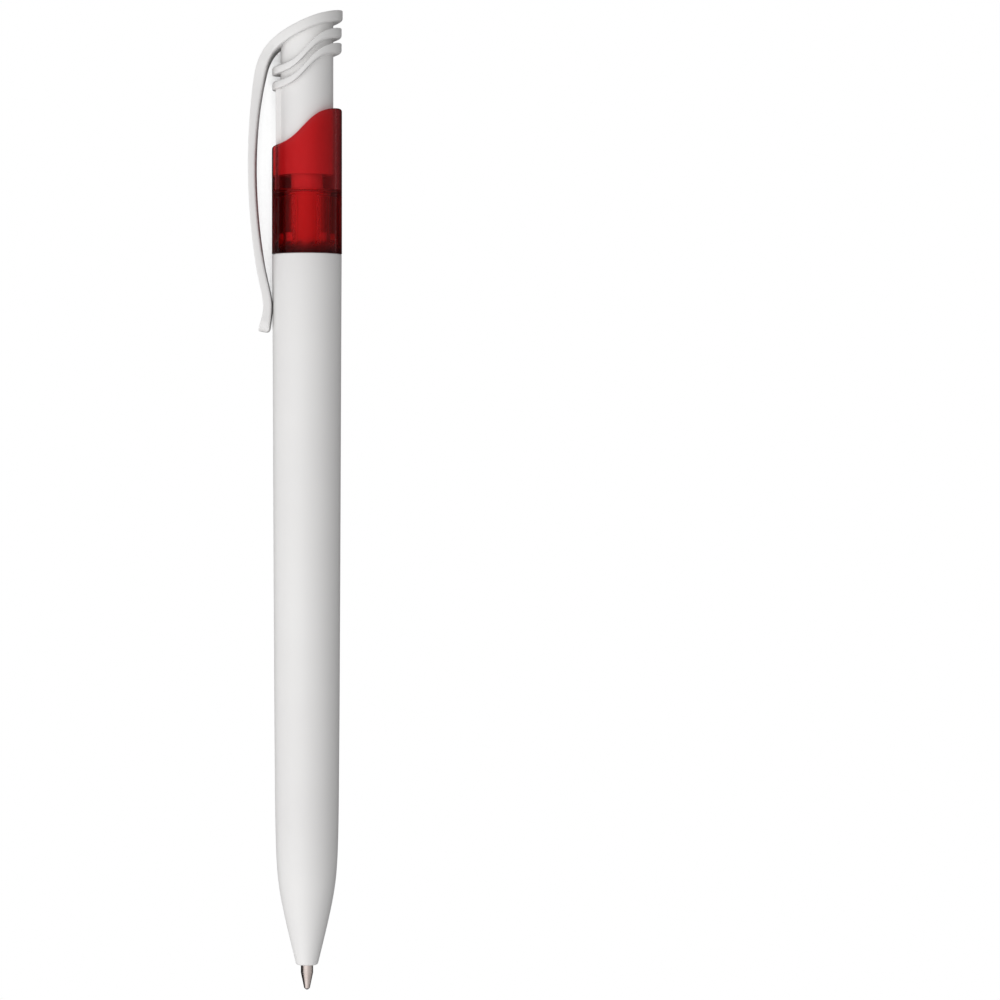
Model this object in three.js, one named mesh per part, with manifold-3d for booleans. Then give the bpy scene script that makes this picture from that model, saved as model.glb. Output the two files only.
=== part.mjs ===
// Pushbutton ballpoint pen with a see-through collar, in millimetres.
//
// Every station is a distance along the pen from the outer end of the writing ball, with the
// point out. Reach is the distance from the pen's axis towards the clip. Each piece is drawn in
// the pen's own frame: x is the station, y is the reach and z runs across the clip. The last
// group lays the pen down as it rests on a table, rolled over until its clip touches.

import * as THREE from 'three';
import { mergeVertices } from 'three/addons/utils/BufferGeometryUtils.js';
import Module from 'manifold-3d';

const wasm = await Module();
wasm.setup();

// Whole pen. Its length follows from the refill, the mechanism, the collar, the fins and the head
const pointOut = 3.55; // how far the point stands out of the nose
const buttonTravel = 5; // from point out to point in
const pressTravel = 1.5; // past the latch, to free it

// Clearances
const runClearance = 0.2; // pieces that slide in one another
const fitClearance = 0.05; // pieces pressed or snapped together
const seatGap = 0.05; // faces that rest on each other
const toothGap = 0.12; // between the teeth, so that the rotor can turn
const turnClearance = 0.1; // pieces that turn on one another
const skirtClearance = 0.34; // the button's skirt in the collar
const skirtRoom = 0.9; // between the pressed skirt and the collar's shoulder
const clipClearance = 0.03; // under the clip's pad

// Push button
const skirtRadius = 3.76;
const skirtWall = 0.82;
const headOverhang = 1.34; // how far the head stands out of the skirt
const headThickness = 1.42;
const headSlope = 0.22; // how steeply the head falls at its back
const headCurve = 0.0222; // how much steeper it gets for each millimetre towards the clip
const headBack = Math.PI / 3; // from the clip to where the round back begins
const headRise = 8.15; // from the lower fin's middle up to the head's top
const railWidth = 1.6;
const railHeight = 0.67;
const socketDrop = 7; // from the head's top down to the end of the thrust tube's socket
const socketDepth = 7;

// The two wavy fins: a soft step from low at the clip to high at the back
const finOverhang = 1.19;
const finRise = 8.65; // from the middle of the collar's rim up to the middle of the lower fin
const finSpacing = 2.15;
const finStepHalf = 2.75;
const finStepReach = 2.4;
const finStepCentre = -0.24;
const finEndThickness = 1.45;
const finMiddleThickness = 1.05;
const finCorner = 0.35;

// Clip
const clipLength = 46; // from the head's top to the clip's lip
const clipWidth = 4.4;
const clipGap = 2.28; // clear of the collar where the clip bows out most
const bendThickness = 1.5;
const cornerThickness = 1.72; // where the head turns down into the clip
const bowThickness = 1.05;
const padThickness = 1.18;
const lipThickness = 1.6;
const lipFlare = 0.32;
const clipEndCorner = 1.5;
const headMarks = [-1.15, -0.43, 0.2, 0.7]; // on the head's middle line, in shares of its radius

// Marks on the clip's middle line: the share of its length, and how far inside the bow it lies
const cornerMark = { share: 0.124, inset: 2.4 };
const bendMarks = [{ share: 0.16, inset: 1.7 }, { share: 0.2, inset: 1.1 }];
const archMark = { share: 0.32, inset: 0.38 };
const bowMarks = [{ share: 0.478, inset: 0 }, { share: 0.64, inset: 0.3 }];
const fallMark = { share: 0.79, inset: 1.14 };
const padShares = [0.905, 0.94];

// Collar
const collarWall = 0.9;
const collarWaveRise = 18.1; // from the barrel's top up to the middle of the wavy rim
const collarStepHalf = 2.84;
const collarStepReach = 2.7;
const collarStepCentre = 0.3;
const rimCorner = 0.4;
const shoulderThickness = 0.7;
const spigotLength = 9.8;
const spigotWall = 0.62;
const beadHeight = 0.15;
const beadLength = 0.9;
const beadDrop = 5; // from the barrel's top edge down to the bead

// Indexing mechanism
const guideRadius = 3.3; // the bore in which the rotor's lugs run
const guideRibRise = 0.9; // from the barrel's top up to the lowest points of the guide ribs
const lugCount = 4;
const toothRise = 1.1;
const lugAngle = THREE.MathUtils.degToRad(20);
const grooveAngle = THREE.MathUtils.degToRad(27);
const lugLength = 2.4;
const rampStart = THREE.MathUtils.degToRad(10.5); // from the clip to the ramps' first step
const toothShift = THREE.MathUtils.degToRad(20); // from the ramps to the thrust tube's teeth
const thrustRadius = 2.25;
const thrustWall = 0.9;
const stopSetback = 0.9; // from the thrust tube's tips up to its stops
const stopHeight = 1.2;
const rotorRise = 7.88; // from the refill's end up to the rotor's tips
const rotorPinLength = 6.5;
const rotorCupDepth = 2.5;

// Barrel
const jointStep = 0.03; // the collar stands proud of the barrel
const barrelKneeRadius = 4.61; // the body's taper, carried down to the knee
const kneeStation = 15;
const noseRadius = 1.63; // the nose cone, carried down to its end
const noseSlope = 0.257;
const kneeSoftness = 0.57;
const noseCorner = 0.3;
const barrelBore = 3.35;
const pointSideGap = 0.07; // round the point in the nose
const pointEndRoom = 0.3; // between the pressed point's shoulder and the nose

// Refill
const refillLength = 98;
const tubeRadius = 1.5;
const tubeWall = 0.5;
const wingStation = 24.1;
const wingLength = 3;
const wingSpan = 4.3;
const wingThickness = 0.9;
const airLength = 12; // above the ink
const ballRadius = 0.35;
const ballClearance = 0.02;
const ballRimStation = 0.22;
const ballRimThickness = 0.055;
const ballRimLap = 0.002; // how far the rim closes in over the ball
const ballSocketMouth = 0.3;
const ballSocketFloor = 0.47;
const ballSeatEnd = 0.84;
const pointRadius = 0.88;
const pointConeEnd = 2.47;
const pointShoulder = 8.8;
const pointBodyRadius = 1.15;
const pointFlange = 12.4;
const shankRadius = 0.78;
const shankLength = 4.1;
const inkChannel = 0.3;
const ballChannel = 0.18;
const holderFlange = 1.2;
const holderPlug = 4.6;

// Return spring
const wireDiameter = 0.4;
const springTurns = 10;
const springEndPitch = 0.86;
const springSideGap = 0.15; // between the spring and what it goes round or into

// Facets, and the distance within which corners are one
const roundSteps = 48;
const fineSteps = 28;
const toothSteps = 72;
const stripSteps = 54;
const ballSteps = 16;
const weldDistance = 1e-5;
const sameStation = 1e-3;
const kneeSteps = 12;
const wireSides = 6;
const wireStepsPerTurn = 12;

// Stations that follow from the sizes above, from the refill's end up
const rotorEnd = refillLength - rotorCupDepth;
const crownTip = refillLength + rotorRise;
const crownRoot = crownTip - toothRise;
const guideRibEnd = crownTip + toothGap;
const barrelTop = guideRibEnd - guideRibRise;
const collarFoot = barrelTop + seatGap;
const spigotEnd = barrelTop - spigotLength;
const beadStart = barrelTop - beadDrop - beadLength;
const beadEnd = barrelTop - beadDrop;
const stopStart = guideRibEnd + stopSetback;
const stopEnd = stopStart + stopHeight;
const guideTop = stopEnd + buttonTravel + runClearance;
const shoulder = guideTop + shoulderThickness;
const skirtEnd = shoulder + pressTravel + skirtRoom;
const rimMiddle = barrelTop + collarWaveRise;
const lowFinMiddle = rimMiddle + finRise;
const penLength = lowFinMiddle + headRise;
const socketEnd = penLength - socketDrop;
const socketStart = socketEnd - socketDepth;
const thrustEnd = socketEnd - seatGap;
const nosePassage = pointShoulder - pressTravel - pointEndRoom;
const springSeat = pointFlange - pressTravel - pointEndRoom;
const springStart = springSeat + seatGap;
const springLength = wingStation - springStart - seatGap;
const boreStart = wingStation - pressTravel - 1;
const shankEnd = pointFlange + shankLength;
const holderEnd = pointFlange + holderFlange + holderPlug;

// Radii and reaches that follow
const collarBore = skirtRadius + skirtClearance;
const collarRadius = collarBore + collarWall;
const barrelTopRadius = collarRadius - jointStep;
const spigotRadius = guideRadius + spigotWall;
const finRadius = skirtRadius + finOverhang;
const headRadius = skirtRadius + headOverhang;
const skirtBore = skirtRadius - skirtWall;
const railReach = skirtRadius + railHeight;
const thrustBore = thrustRadius - thrustWall;
const ribRadius = thrustRadius + runClearance;
const lugRadius = guideRadius - runClearance;
const rotorPinRadius = thrustBore - turnClearance;
const tubeBore = tubeRadius - tubeWall;
const padReach = collarRadius + clipClearance;
const bowReach = collarRadius + clipGap;
const springRadius = tubeRadius + springSideGap + wireDiameter / 2;
const springChamber = springRadius + wireDiameter / 2 + springSideGap;
const nosePassageRadius = pointRadius + pointSideGap;
const noseBodyRadius = pointBodyRadius + 2 * pointSideGap;

// A closed three.js shape without its seams, as a solid that can be joined and cut
function solid(geometry) {
  const bare = geometry.index ? geometry.toNonIndexed() : geometry.clone();
  bare.deleteAttribute('normal');
  bare.deleteAttribute('uv');
  const welded = mergeVertices(bare, weldDistance);
  const corners = welded.index.array;
  const faces = [];
  for (let i = 0; i < corners.length; i += 3) {
    const [a, b, c] = [corners[i], corners[i + 1], corners[i + 2]];
    if (a !== b && b !== c && c !== a) faces.push(a, b, c);
  }
  const mesh = new wasm.Mesh({
    numProp: 3,
    vertProperties: new Float32Array(welded.attributes.position.array),
    triVerts: new Uint32Array(faces),
  });
  mesh.merge();
  return new wasm.Manifold(mesh);
}

// The joined or cut solid as a three.js geometry
function geometryOf(body) {
  const mesh = body.getMesh();
  const geometry = new THREE.BufferGeometry();
  geometry.setAttribute('position', new THREE.BufferAttribute(mesh.vertProperties, 3));
  geometry.setIndex(new THREE.BufferAttribute(mesh.triVerts, 1));
  geometry.computeVertexNormals();
  return geometry;
}

// A piece turned about the pen's axis from [radius, station] corners, listed anticlockwise
function turned(corners, steps = roundSteps) {
  const profile = corners.map(([radius, station]) => new THREE.Vector2(radius, station));
  return new THREE.LatheGeometry(profile, steps).rotateZ(-Math.PI / 2);
}

// A turned ring between two radii and two stations
function ring(inner, outer, start, end, steps = roundSteps) {
  return turned([[inner, start], [outer, start], [outer, end], [inner, end], [inner, start]], steps);
}

// A turned rod between two stations
function rod(radius, start, end, steps = roundSteps) {
  return turned([[0, start], [radius, start], [radius, end], [0, end]], steps);
}

// A side view of the pen, in stations and reaches, given a width across the clip
function sideCut(outline, width) {
  const shape = new THREE.Shape(outline);
  const geometry = new THREE.ExtrudeGeometry(shape, { depth: width, bevelEnabled: false });
  return geometry.translate(0, 0, -width / 2);
}

// An end view of the pen, drawn on the reach and across the clip, carried along the pen
function endCut(shape, start, end) {
  const settings = { depth: end - start, bevelEnabled: false, curveSegments: fineSteps };
  const geometry = new THREE.ExtrudeGeometry(shape, settings);
  const alongPen = new THREE.Matrix4().makeBasis(
    new THREE.Vector3(0, 1, 0),
    new THREE.Vector3(0, 0, 1),
    new THREE.Vector3(1, 0, 0),
  );
  return geometry.applyMatrix4(alongPen).translate(start, 0, 0);
}

// Moves each corner of a geometry along the pen, by its own station, reach and cross position
function shifted(geometry, newStation) {
  const spots = geometry.attributes.position;
  for (let i = 0; i < spots.count; i += 1) {
    spots.setX(i, newStation(spots.getX(i), spots.getY(i), spots.getZ(i)));
  }
  return geometry;
}

// A soft step that falls from the back of the pen towards the clip
function softStep(reach, middle, half, stepReach, centre) {
  return middle - half * Math.tanh((reach - centre) / stepReach);
}

// How far round its tooth an angle lies, from 0 just after the step to 1 just before the next
function toothPhase(angle, firstStep) {
  const turns = ((angle - firstStep) * 2 * lugCount) / (2 * Math.PI);
  return turns - Math.floor(turns);
}

// A ring with sloping teeth on one of its ends, with the slopes all facing one way
function toothedRing(inner, outer, start, end, toothedEnd, firstStep) {
  return shifted(ring(inner, outer, start, end, toothSteps), (station, reach, across) => {
    if (Math.abs(station - toothedEnd) > sameStation) return station;
    return toothedEnd + toothRise * toothPhase(Math.atan2(across, reach), firstStep);
  });
}

// Wedges along the pen, one for each lug, centred between the guide ribs
function wedges(width, outer, start, end) {
  const pieces = [];
  for (let i = 0; i < lugCount; i += 1) {
    const first = ((i + 0.5) * 2 * Math.PI) / lugCount - width / 2;
    const shape = new THREE.Shape();
    shape.moveTo(0, 0);
    shape.lineTo(outer * Math.cos(first), outer * Math.sin(first));
    shape.absarc(0, 0, outer, first, first + width, false);
    shape.closePath();
    pieces.push(solid(endCut(shape, start, end)));
  }
  return wasm.Manifold.union(pieces);
}

// The barrel's outside: a slightly tapered body that meets the nose cone in a soft knee
function barrelRadiusAt(station) {
  const rise = (barrelTopRadius - barrelKneeRadius) / (barrelTop - kneeStation);
  const body = barrelKneeRadius + rise * (station - kneeStation);
  const cone = noseRadius + noseSlope * (station - pointOut);
  return (body + cone) / 2 - Math.hypot((cone - body) / 2, kneeSoftness);
}

// Barrel: one moulding with its nose, a seat for the spring and a socket for the collar
function barrel() {
  const socketRadius = spigotRadius + fitClearance;
  const socketFloor = spigotEnd - runClearance;
  const grooveRadius = socketRadius + beadHeight;
  const noseFace = barrelRadiusAt(pointOut) - noseCorner;
  const noseTop = pointOut + noseCorner;
  const kneeTop = 2 * kneeStation - pointOut;
  const bodyMiddle = (kneeTop + barrelTop) / 2;
  const corners = [
    [nosePassageRadius, pointOut],
    [noseFace, pointOut],
    [noseFace + noseCorner * Math.SQRT1_2, pointOut + noseCorner * (1 - Math.SQRT1_2)],
  ];
  for (let i = 0; i <= kneeSteps; i += 1) {
    const station = THREE.MathUtils.lerp(noseTop, kneeTop, i / kneeSteps);
    corners.push([barrelRadiusAt(station), station]);
  }
  corners.push(
    [barrelRadiusAt(bodyMiddle), bodyMiddle],
    [barrelRadiusAt(barrelTop), barrelTop],
    [socketRadius, barrelTop],
    [socketRadius, beadEnd + fitClearance],
    [grooveRadius, beadEnd + fitClearance - beadHeight],
    [grooveRadius, beadStart - fitClearance + beadHeight],
    [socketRadius, beadStart - fitClearance],
    [socketRadius, socketFloor],
    [barrelBore, socketFloor],
    [barrelBore, boreStart],
    [springChamber, boreStart - (barrelBore - springChamber)],
    [springChamber, springSeat],
    [noseBodyRadius, springSeat],
    [noseBodyRadius, nosePassage],
    [nosePassageRadius, nosePassage],
    [nosePassageRadius, pointOut],
  );
  return turned(corners);
}

// The collar's outside and bore, with the rim raised and lowered into its wave
function collarShell() {
  const softCorner = rimCorner * (1 - Math.SQRT1_2);
  const profile = [
    [guideRadius, spigotEnd],
    [spigotRadius, spigotEnd],
    [spigotRadius, beadStart],
    [spigotRadius + beadHeight, beadStart + beadHeight],
    [spigotRadius + beadHeight, beadEnd - beadHeight],
    [spigotRadius, beadEnd],
    [spigotRadius, collarFoot],
    [collarRadius, collarFoot],
    [collarRadius, rimMiddle - rimCorner],
    [collarRadius - softCorner, rimMiddle - softCorner],
    [collarRadius - rimCorner, rimMiddle],
    [collarBore, rimMiddle],
    [collarBore, shoulder],
    [ribRadius, shoulder],
    [ribRadius, guideTop],
    [guideRadius, guideTop],
    [guideRadius, spigotEnd],
  ];
  return shifted(turned(profile), (station, reach) => {
    if (station < rimMiddle - rimCorner - seatGap) return station;
    const rim = softStep(reach, rimMiddle, collarStepHalf, collarStepReach, collarStepCentre);
    return station + rim - rimMiddle;
  });
}

// Guide ribs: sloping lower ends turn the rotor, and the grooves between them let its lugs rise
function guideRibs() {
  const rooted = spigotWall / 2;
  const top = guideTop + shoulderThickness / 2;
  const ribs = toothedRing(ribRadius, guideRadius + rooted, guideRibEnd, top, guideRibEnd, rampStart);
  return solid(ribs).subtract(wedges(grooveAngle, guideRadius, spigotEnd, guideTop));
}

// Collar: the see-through sleeve with its wavy rim, snap spigot, guide ribs and rail slot
function collar() {
  const slotReach = railReach + fitClearance;
  const slotEnd = rimMiddle + collarStepHalf + rimCorner;
  const slot = new THREE.BoxGeometry(slotEnd - shoulder, slotReach, railWidth + 2 * runClearance);
  slot.translate((slotEnd + shoulder) / 2, slotReach / 2, 0);
  return solid(collarShell()).add(guideRibs()).subtract(solid(slot));
}

// One wavy fin round the button, with rounded outer corners
function fin(middle) {
  const root = skirtRadius - skirtWall / 2;
  const half = finEndThickness / 2;
  const soft = finCorner * (1 - Math.SQRT1_2);
  const profile = [
    [root, -half],
    [finRadius - finCorner, -half],
    [finRadius - soft, -half + soft],
    [finRadius, -half + finCorner],
    [finRadius, half - finCorner],
    [finRadius - soft, half - soft],
    [finRadius - finCorner, half],
    [root, half],
    [root, -half],
  ];
  return shifted(turned(profile), (offset, reach) => {
    const outward = Math.min(1, (reach / finRadius) ** 2);
    const thickness = THREE.MathUtils.lerp(finMiddleThickness, finEndThickness, outward);
    const height = softStep(reach, middle, finStepHalf, finStepReach, finStepCentre);
    return height + (offset * thickness) / finEndThickness;
  });
}

// The middle line of the strip that makes the head and the clip, seen from the side. Each point
// holds a station, a reach and the strip's thickness there.
function stripLine() {
  const marks = [];
  const headMiddle = penLength - (headThickness / 2) * Math.hypot(1, headSlope);
  const onHead = (reach) => {
    const forward = reach + headRadius;
    const fall = headSlope * forward + headCurve * forward ** 2;
    marks.push(new THREE.Vector3(headMiddle - fall, reach, headThickness));
  };
  const onClip = (share, reach, thickness) => {
    marks.push(new THREE.Vector3(penLength - share * clipLength, reach, thickness));
  };
  const bow = bowReach + bowThickness / 2;
  const pad = padReach + padThickness / 2;
  const inBow = (mark, thickness) => onClip(mark.share, bow - mark.inset, thickness);
  headMarks.forEach((share) => onHead(share * headRadius));
  inBow(cornerMark, cornerThickness);
  bendMarks.forEach((mark) => inBow(mark, bendThickness));
  inBow(archMark, (bendThickness + 2 * bowThickness) / 3);
  bowMarks.forEach((mark) => inBow(mark, bowThickness));
  inBow(fallMark, (bowThickness + padThickness) / 2);
  padShares.forEach((share) => onClip(share, pad, padThickness));
  onClip(1, padReach + lipFlare + lipThickness / 2, lipThickness);
  return new THREE.CatmullRomCurve3(marks).getPoints(stripSteps);
}

// The strip's two edges, half its thickness to each side of its middle line
function stripOutline(line) {
  const outer = [];
  const inner = [];
  line.forEach((spot, i) => {
    const before = line[Math.max(i - 1, 0)];
    const after = line[Math.min(i + 1, line.length - 1)];
    const along = new THREE.Vector2(after.x - before.x, after.y - before.y).normalize();
    const half = spot.z / 2;
    outer.push(new THREE.Vector2(spot.x + along.y * half, spot.y - along.x * half));
    inner.push(new THREE.Vector2(spot.x - along.y * half, spot.y + along.x * half));
  });
  return [...outer, ...inner.reverse()];
}

// What the head and clip cover, seen from the end: a round back drawn in to the clip's width
function headPlan() {
  const half = clipWidth / 2;
  const far = bowReach + bendThickness + headRadius;
  const neck = bowReach - bowThickness;
  const shape = new THREE.Shape();
  shape.moveTo(far, -half);
  shape.lineTo(far, half);
  shape.lineTo(neck, half);
  shape.lineTo(headRadius * Math.cos(headBack), headRadius * Math.sin(headBack));
  shape.absarc(0, 0, headRadius, headBack, 2 * Math.PI - headBack, false);
  shape.lineTo(neck, -half);
  shape.closePath();
  return solid(endCut(shape, penLength - 2 * clipLength, 2 * penLength));
}

// What the head and clip cover, seen from outside the clip: its lower end has rounded corners
function clipFront() {
  const half = clipWidth / 2;
  const wide = 2 * headRadius;
  const low = penLength - clipLength;
  const middle = half - clipEndCorner;
  const shape = new THREE.Shape();
  shape.moveTo(low + clipEndCorner, half);
  shape.absarc(low + clipEndCorner, middle, clipEndCorner, Math.PI / 2, Math.PI, false);
  shape.absarc(low + clipEndCorner, -middle, clipEndCorner, Math.PI, 1.5 * Math.PI, false);
  shape.lineTo(socketStart, -half);
  shape.lineTo(socketStart, -wide);
  shape.lineTo(2 * penLength, -wide);
  shape.lineTo(2 * penLength, wide);
  shape.lineTo(socketStart, wide);
  shape.lineTo(socketStart, half);
  shape.closePath();
  const far = bowReach + 2 * bendThickness;
  const settings = { depth: far + wide, bevelEnabled: false };
  const facingClip = new THREE.Matrix4().makeBasis(
    new THREE.Vector3(1, 0, 0),
    new THREE.Vector3(0, 0, 1),
    new THREE.Vector3(0, -1, 0),
  );
  const cut = new THREE.ExtrudeGeometry(shape, settings).applyMatrix4(facingClip);
  return solid(cut.translate(0, far, 0));
}

// The skirt and its rail, cut off inside the head, with the bore and the thrust tube's socket
function skirt(line) {
  const inHead = line.filter((spot) => spot.y < skirtRadius + runClearance);
  const outline = [
    new THREE.Vector2(skirtEnd, -headRadius),
    ...inHead.map((spot) => new THREE.Vector2(spot.x, spot.y)),
    new THREE.Vector2(skirtEnd, inHead.at(-1).y),
  ];
  const underHead = solid(sideCut(outline, 3 * headRadius));
  const railTop = lowFinMiddle - finStepHalf;
  const rail = new THREE.BoxGeometry(railTop - skirtEnd, railReach, railWidth);
  rail.translate((railTop + skirtEnd) / 2, railReach / 2, 0);
  const bore = solid(rod(skirtBore, skirtEnd - 1, socketStart));
  const socket = solid(rod(thrustRadius + fitClearance, socketStart - 1, socketEnd));
  return solid(rod(skirtRadius, skirtEnd, penLength))
    .intersect(underHead)
    .add(solid(rail))
    .subtract(bore)
    .subtract(socket);
}

// Push button: head, clip, fins, skirt and guide rail in one moulding
function pushButton() {
  const line = stripLine();
  const strip = solid(sideCut(stripOutline(line), 3 * headRadius));
  return strip
    .intersect(headPlan())
    .intersect(clipFront())
    .add(solid(fin(lowFinMiddle)).add(solid(fin(lowFinMiddle + finSpacing))))
    .add(skirt(line));
}

// Thrust tube: presses into the button and drives the rotor with its teeth
function thrustTube() {
  const teethStart = rampStart + toothShift;
  const tube = toothedRing(thrustBore, thrustRadius, guideRibEnd, thrustEnd, guideRibEnd, teethStart);
  const stopRing = solid(ring(thrustRadius - thrustWall / 2, lugRadius, stopStart, stopEnd));
  const stops = stopRing.intersect(wedges(lugAngle, guideRadius, stopStart, stopEnd));
  return solid(tube).add(stops);
}

// Index rotor: crown, lugs, a pin that centres it in the thrust tube and a cup for the refill
function indexRotor() {
  const rooted = turnClearance;
  const crown = toothedRing(
    rotorPinRadius - rooted,
    thrustRadius,
    crownRoot - lugLength,
    crownRoot,
    crownRoot,
    rampStart,
  );
  const lugRing = toothedRing(
    thrustRadius - rooted,
    lugRadius,
    crownRoot - lugLength,
    crownRoot,
    crownRoot,
    rampStart,
  );
  const lugs = solid(lugRing).intersect(wedges(lugAngle, guideRadius, rotorEnd, 2 * crownTip - rotorEnd));
  const stem = rod(thrustRadius, rotorEnd, crownRoot - rooted, toothSteps);
  const pin = rod(rotorPinRadius, crownRoot - lugLength, crownTip + rotorPinLength, fineSteps);
  const cup = rod(tubeRadius + turnClearance, rotorEnd - 1, refillLength + seatGap, fineSteps);
  return solid(crown).add(lugs).add(solid(stem)).add(solid(pin)).subtract(solid(cup));
}

// The wire's middle line, with closer turns at both ends
class SpringLine extends THREE.Curve {
  getPoint(share) {
    const turn = share * springTurns;
    const pitch = (springLength - wireDiameter - 2 * springEndPitch) / (springTurns - 2);
    const endTurns = Math.min(turn, 1) + Math.max(turn - springTurns + 1, 0);
    const climb = endTurns * springEndPitch + (turn - endTurns) * pitch;
    const angle = turn * 2 * Math.PI;
    return new THREE.Vector3(
      springStart + wireDiameter / 2 + climb,
      springRadius * Math.cos(angle),
      springRadius * Math.sin(angle),
    );
  }
}

// The least gap between one turn of the wire and the next, measured on points of its middle line
function leastSpringGap() {
  const pointsPerTurn = 24;
  const points = new SpringLine().getSpacedPoints(springTurns * pointsPerTurn);
  let least = Infinity;
  for (let i = 0; i < points.length; i += 1) {
    for (let j = i + pointsPerTurn / 2; j < points.length; j += 1) {
      least = Math.min(least, points[i].distanceTo(points[j]));
    }
  }
  return least - wireDiameter;
}

// Return spring: one wire that pushes the refill back from its seat in the nose
function returnSpring() {
  const section = new THREE.Shape();
  section.absarc(0, 0, wireDiameter / 2, 0, 2 * Math.PI, false);
  return new THREE.ExtrudeGeometry(section, {
    steps: springTurns * wireStepsPerTurn,
    extrudePath: new SpringLine(),
    bevelEnabled: false,
    curveSegments: wireSides / 2,
  });
}

// Refill tube with the two pressed wings that the spring pushes on
function refillTube() {
  const start = pointFlange + holderFlange + seatGap;
  const tube = solid(ring(tubeBore, tubeRadius, start, refillLength, fineSteps));
  const wings = new THREE.BoxGeometry(wingLength, wingSpan, wingThickness);
  wings.translate(wingStation + wingLength / 2, 0, 0);
  const middle = rod(tubeRadius - tubeWall / 2, start, refillLength, fineSteps);
  return tube.add(solid(wings).subtract(solid(middle)));
}

// Ink: a column in the tube that leaves air above it
function inkColumn() {
  return rod(tubeBore - fitClearance, holderEnd + seatGap, refillLength - airLength, fineSteps);
}

// Point holder: a plug in the tube that carries the metal point
function pointHolder() {
  const bore = shankRadius + fitClearance;
  const plug = tubeBore - fitClearance;
  const seat = pointFlange + seatGap;
  const flangeTop = pointFlange + holderFlange;
  const lead = tubeWall / 2;
  return turned([
    [bore, seat],
    [tubeRadius - lead, seat],
    [tubeRadius, seat + lead],
    [tubeRadius, flangeTop],
    [plug, flangeTop],
    [plug, holderEnd - lead],
    [plug - lead / 4, holderEnd],
    [inkChannel, holderEnd],
    [inkChannel, shankEnd + seatGap],
    [bore, shankEnd + seatGap],
    [bore, seat],
  ], fineSteps);
}

// Refill point: turned metal with the socket that holds the ball
function refillPoint() {
  const rimBore = ballRadius - ballRimLap;
  const socket = ballRadius + ballClearance;
  const chamfer = pointBodyRadius - pointRadius;
  const lead = shankRadius / 8;
  return turned([
    [rimBore, ballRimStation],
    [rimBore + ballRimThickness, ballRimStation],
    [pointRadius, pointConeEnd],
    [pointRadius, pointShoulder],
    [pointBodyRadius, pointShoulder + chamfer],
    [pointBodyRadius, pointFlange],
    [shankRadius, pointFlange],
    [shankRadius, shankEnd - lead],
    [shankRadius - lead, shankEnd],
    [inkChannel, shankEnd],
    [inkChannel, pointConeEnd],
    [ballChannel, pointConeEnd],
    [ballChannel, ballSeatEnd],
    [socket, ballSocketFloor],
    [socket, ballSocketMouth],
    [rimBore, ballRimStation],
  ], fineSteps);
}

// Writing ball
function writingBall() {
  return new THREE.SphereGeometry(ballRadius, ballSteps, ballSteps / 2).translate(ballRadius, 0, 0);
}

// Finishes
const whitePlastic = { color: 0xf1efee, roughness: 0.38, metalness: 0 };
const redPlastic = { color: 0xb81a20, roughness: 0.22, metalness: 0, transparent: true, opacity: 0.72 };
const naturalPlastic = { color: 0xe6e4da, roughness: 0.5, metalness: 0 };
const clearTube = { color: 0xdcdcd6, roughness: 0.35, metalness: 0 };
const redInk = { color: 0x8c1016, roughness: 0.3, metalness: 0 };
const nickel = { color: 0xc8c2bd, roughness: 0.25, metalness: 1 };
const springSteel = { color: 0xa9adb0, roughness: 0.35, metalness: 1 };
const carbide = { color: 0x6e7074, roughness: 0.15, metalness: 1 };

// Puts a named piece on the pen
function addPiece(pen, name, shape, finish) {
  const geometry = shape.isBufferGeometry ? shape : geometryOf(shape);
  const piece = new THREE.Mesh(geometry, new THREE.MeshStandardMaterial(finish));
  piece.name = name;
  pen.add(piece);
}

const pen = new THREE.Group();
addPiece(pen, 'barrel', barrel(), whitePlastic);
addPiece(pen, 'collar', collar(), redPlastic);
addPiece(pen, 'push_button', pushButton(), whitePlastic);
addPiece(pen, 'thrust_tube', thrustTube(), whitePlastic);
addPiece(pen, 'index_rotor', indexRotor(), whitePlastic);
addPiece(pen, 'return_spring', returnSpring(), springSteel);
addPiece(pen, 'refill_tube', refillTube(), clearTube);
addPiece(pen, 'ink_column', inkColumn(), redInk);
addPiece(pen, 'point_holder', pointHolder(), naturalPlastic);
addPiece(pen, 'refill_point', refillPoint(), nickel);
addPiece(pen, 'writing_ball', writingBall(), carbide);
console.log(`least gap in the return spring: ${leastSpringGap().toFixed(2)} mm`);

// At rest the head and the outer corner of the clip both touch the table
const bowOuterReach = bowReach + bowThickness;
const cornerDistance = Math.hypot(bowOuterReach, clipWidth / 2);
const roll = Math.asin(headRadius / cornerDistance) - Math.atan2(clipWidth / 2, bowOuterReach);
const clipSide = bowOuterReach * Math.cos(roll) + (clipWidth / 2) * Math.sin(roll);
pen.rotation.x = -roll;
pen.position.set(-penLength / 2, (headRadius - clipSide) / 2, headRadius);

const object = new THREE.Group();
object.add(pen);

export default object;
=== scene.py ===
"""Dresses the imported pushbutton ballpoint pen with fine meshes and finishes, and lights it.

Meshes are drawn in millimetres in the pen's own frame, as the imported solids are. A station runs
along the pen from the ball towards the button, a reach runs from the pen's axis towards the clip,
and across runs out of the clip's side that the camera sees. PenFrame carries them into metres in
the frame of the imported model.
"""

import logging
import math
from dataclasses import dataclass
from enum import Enum
from typing import Callable, Sequence

import bmesh
import bpy
from mathutils import Matrix, Vector

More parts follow.
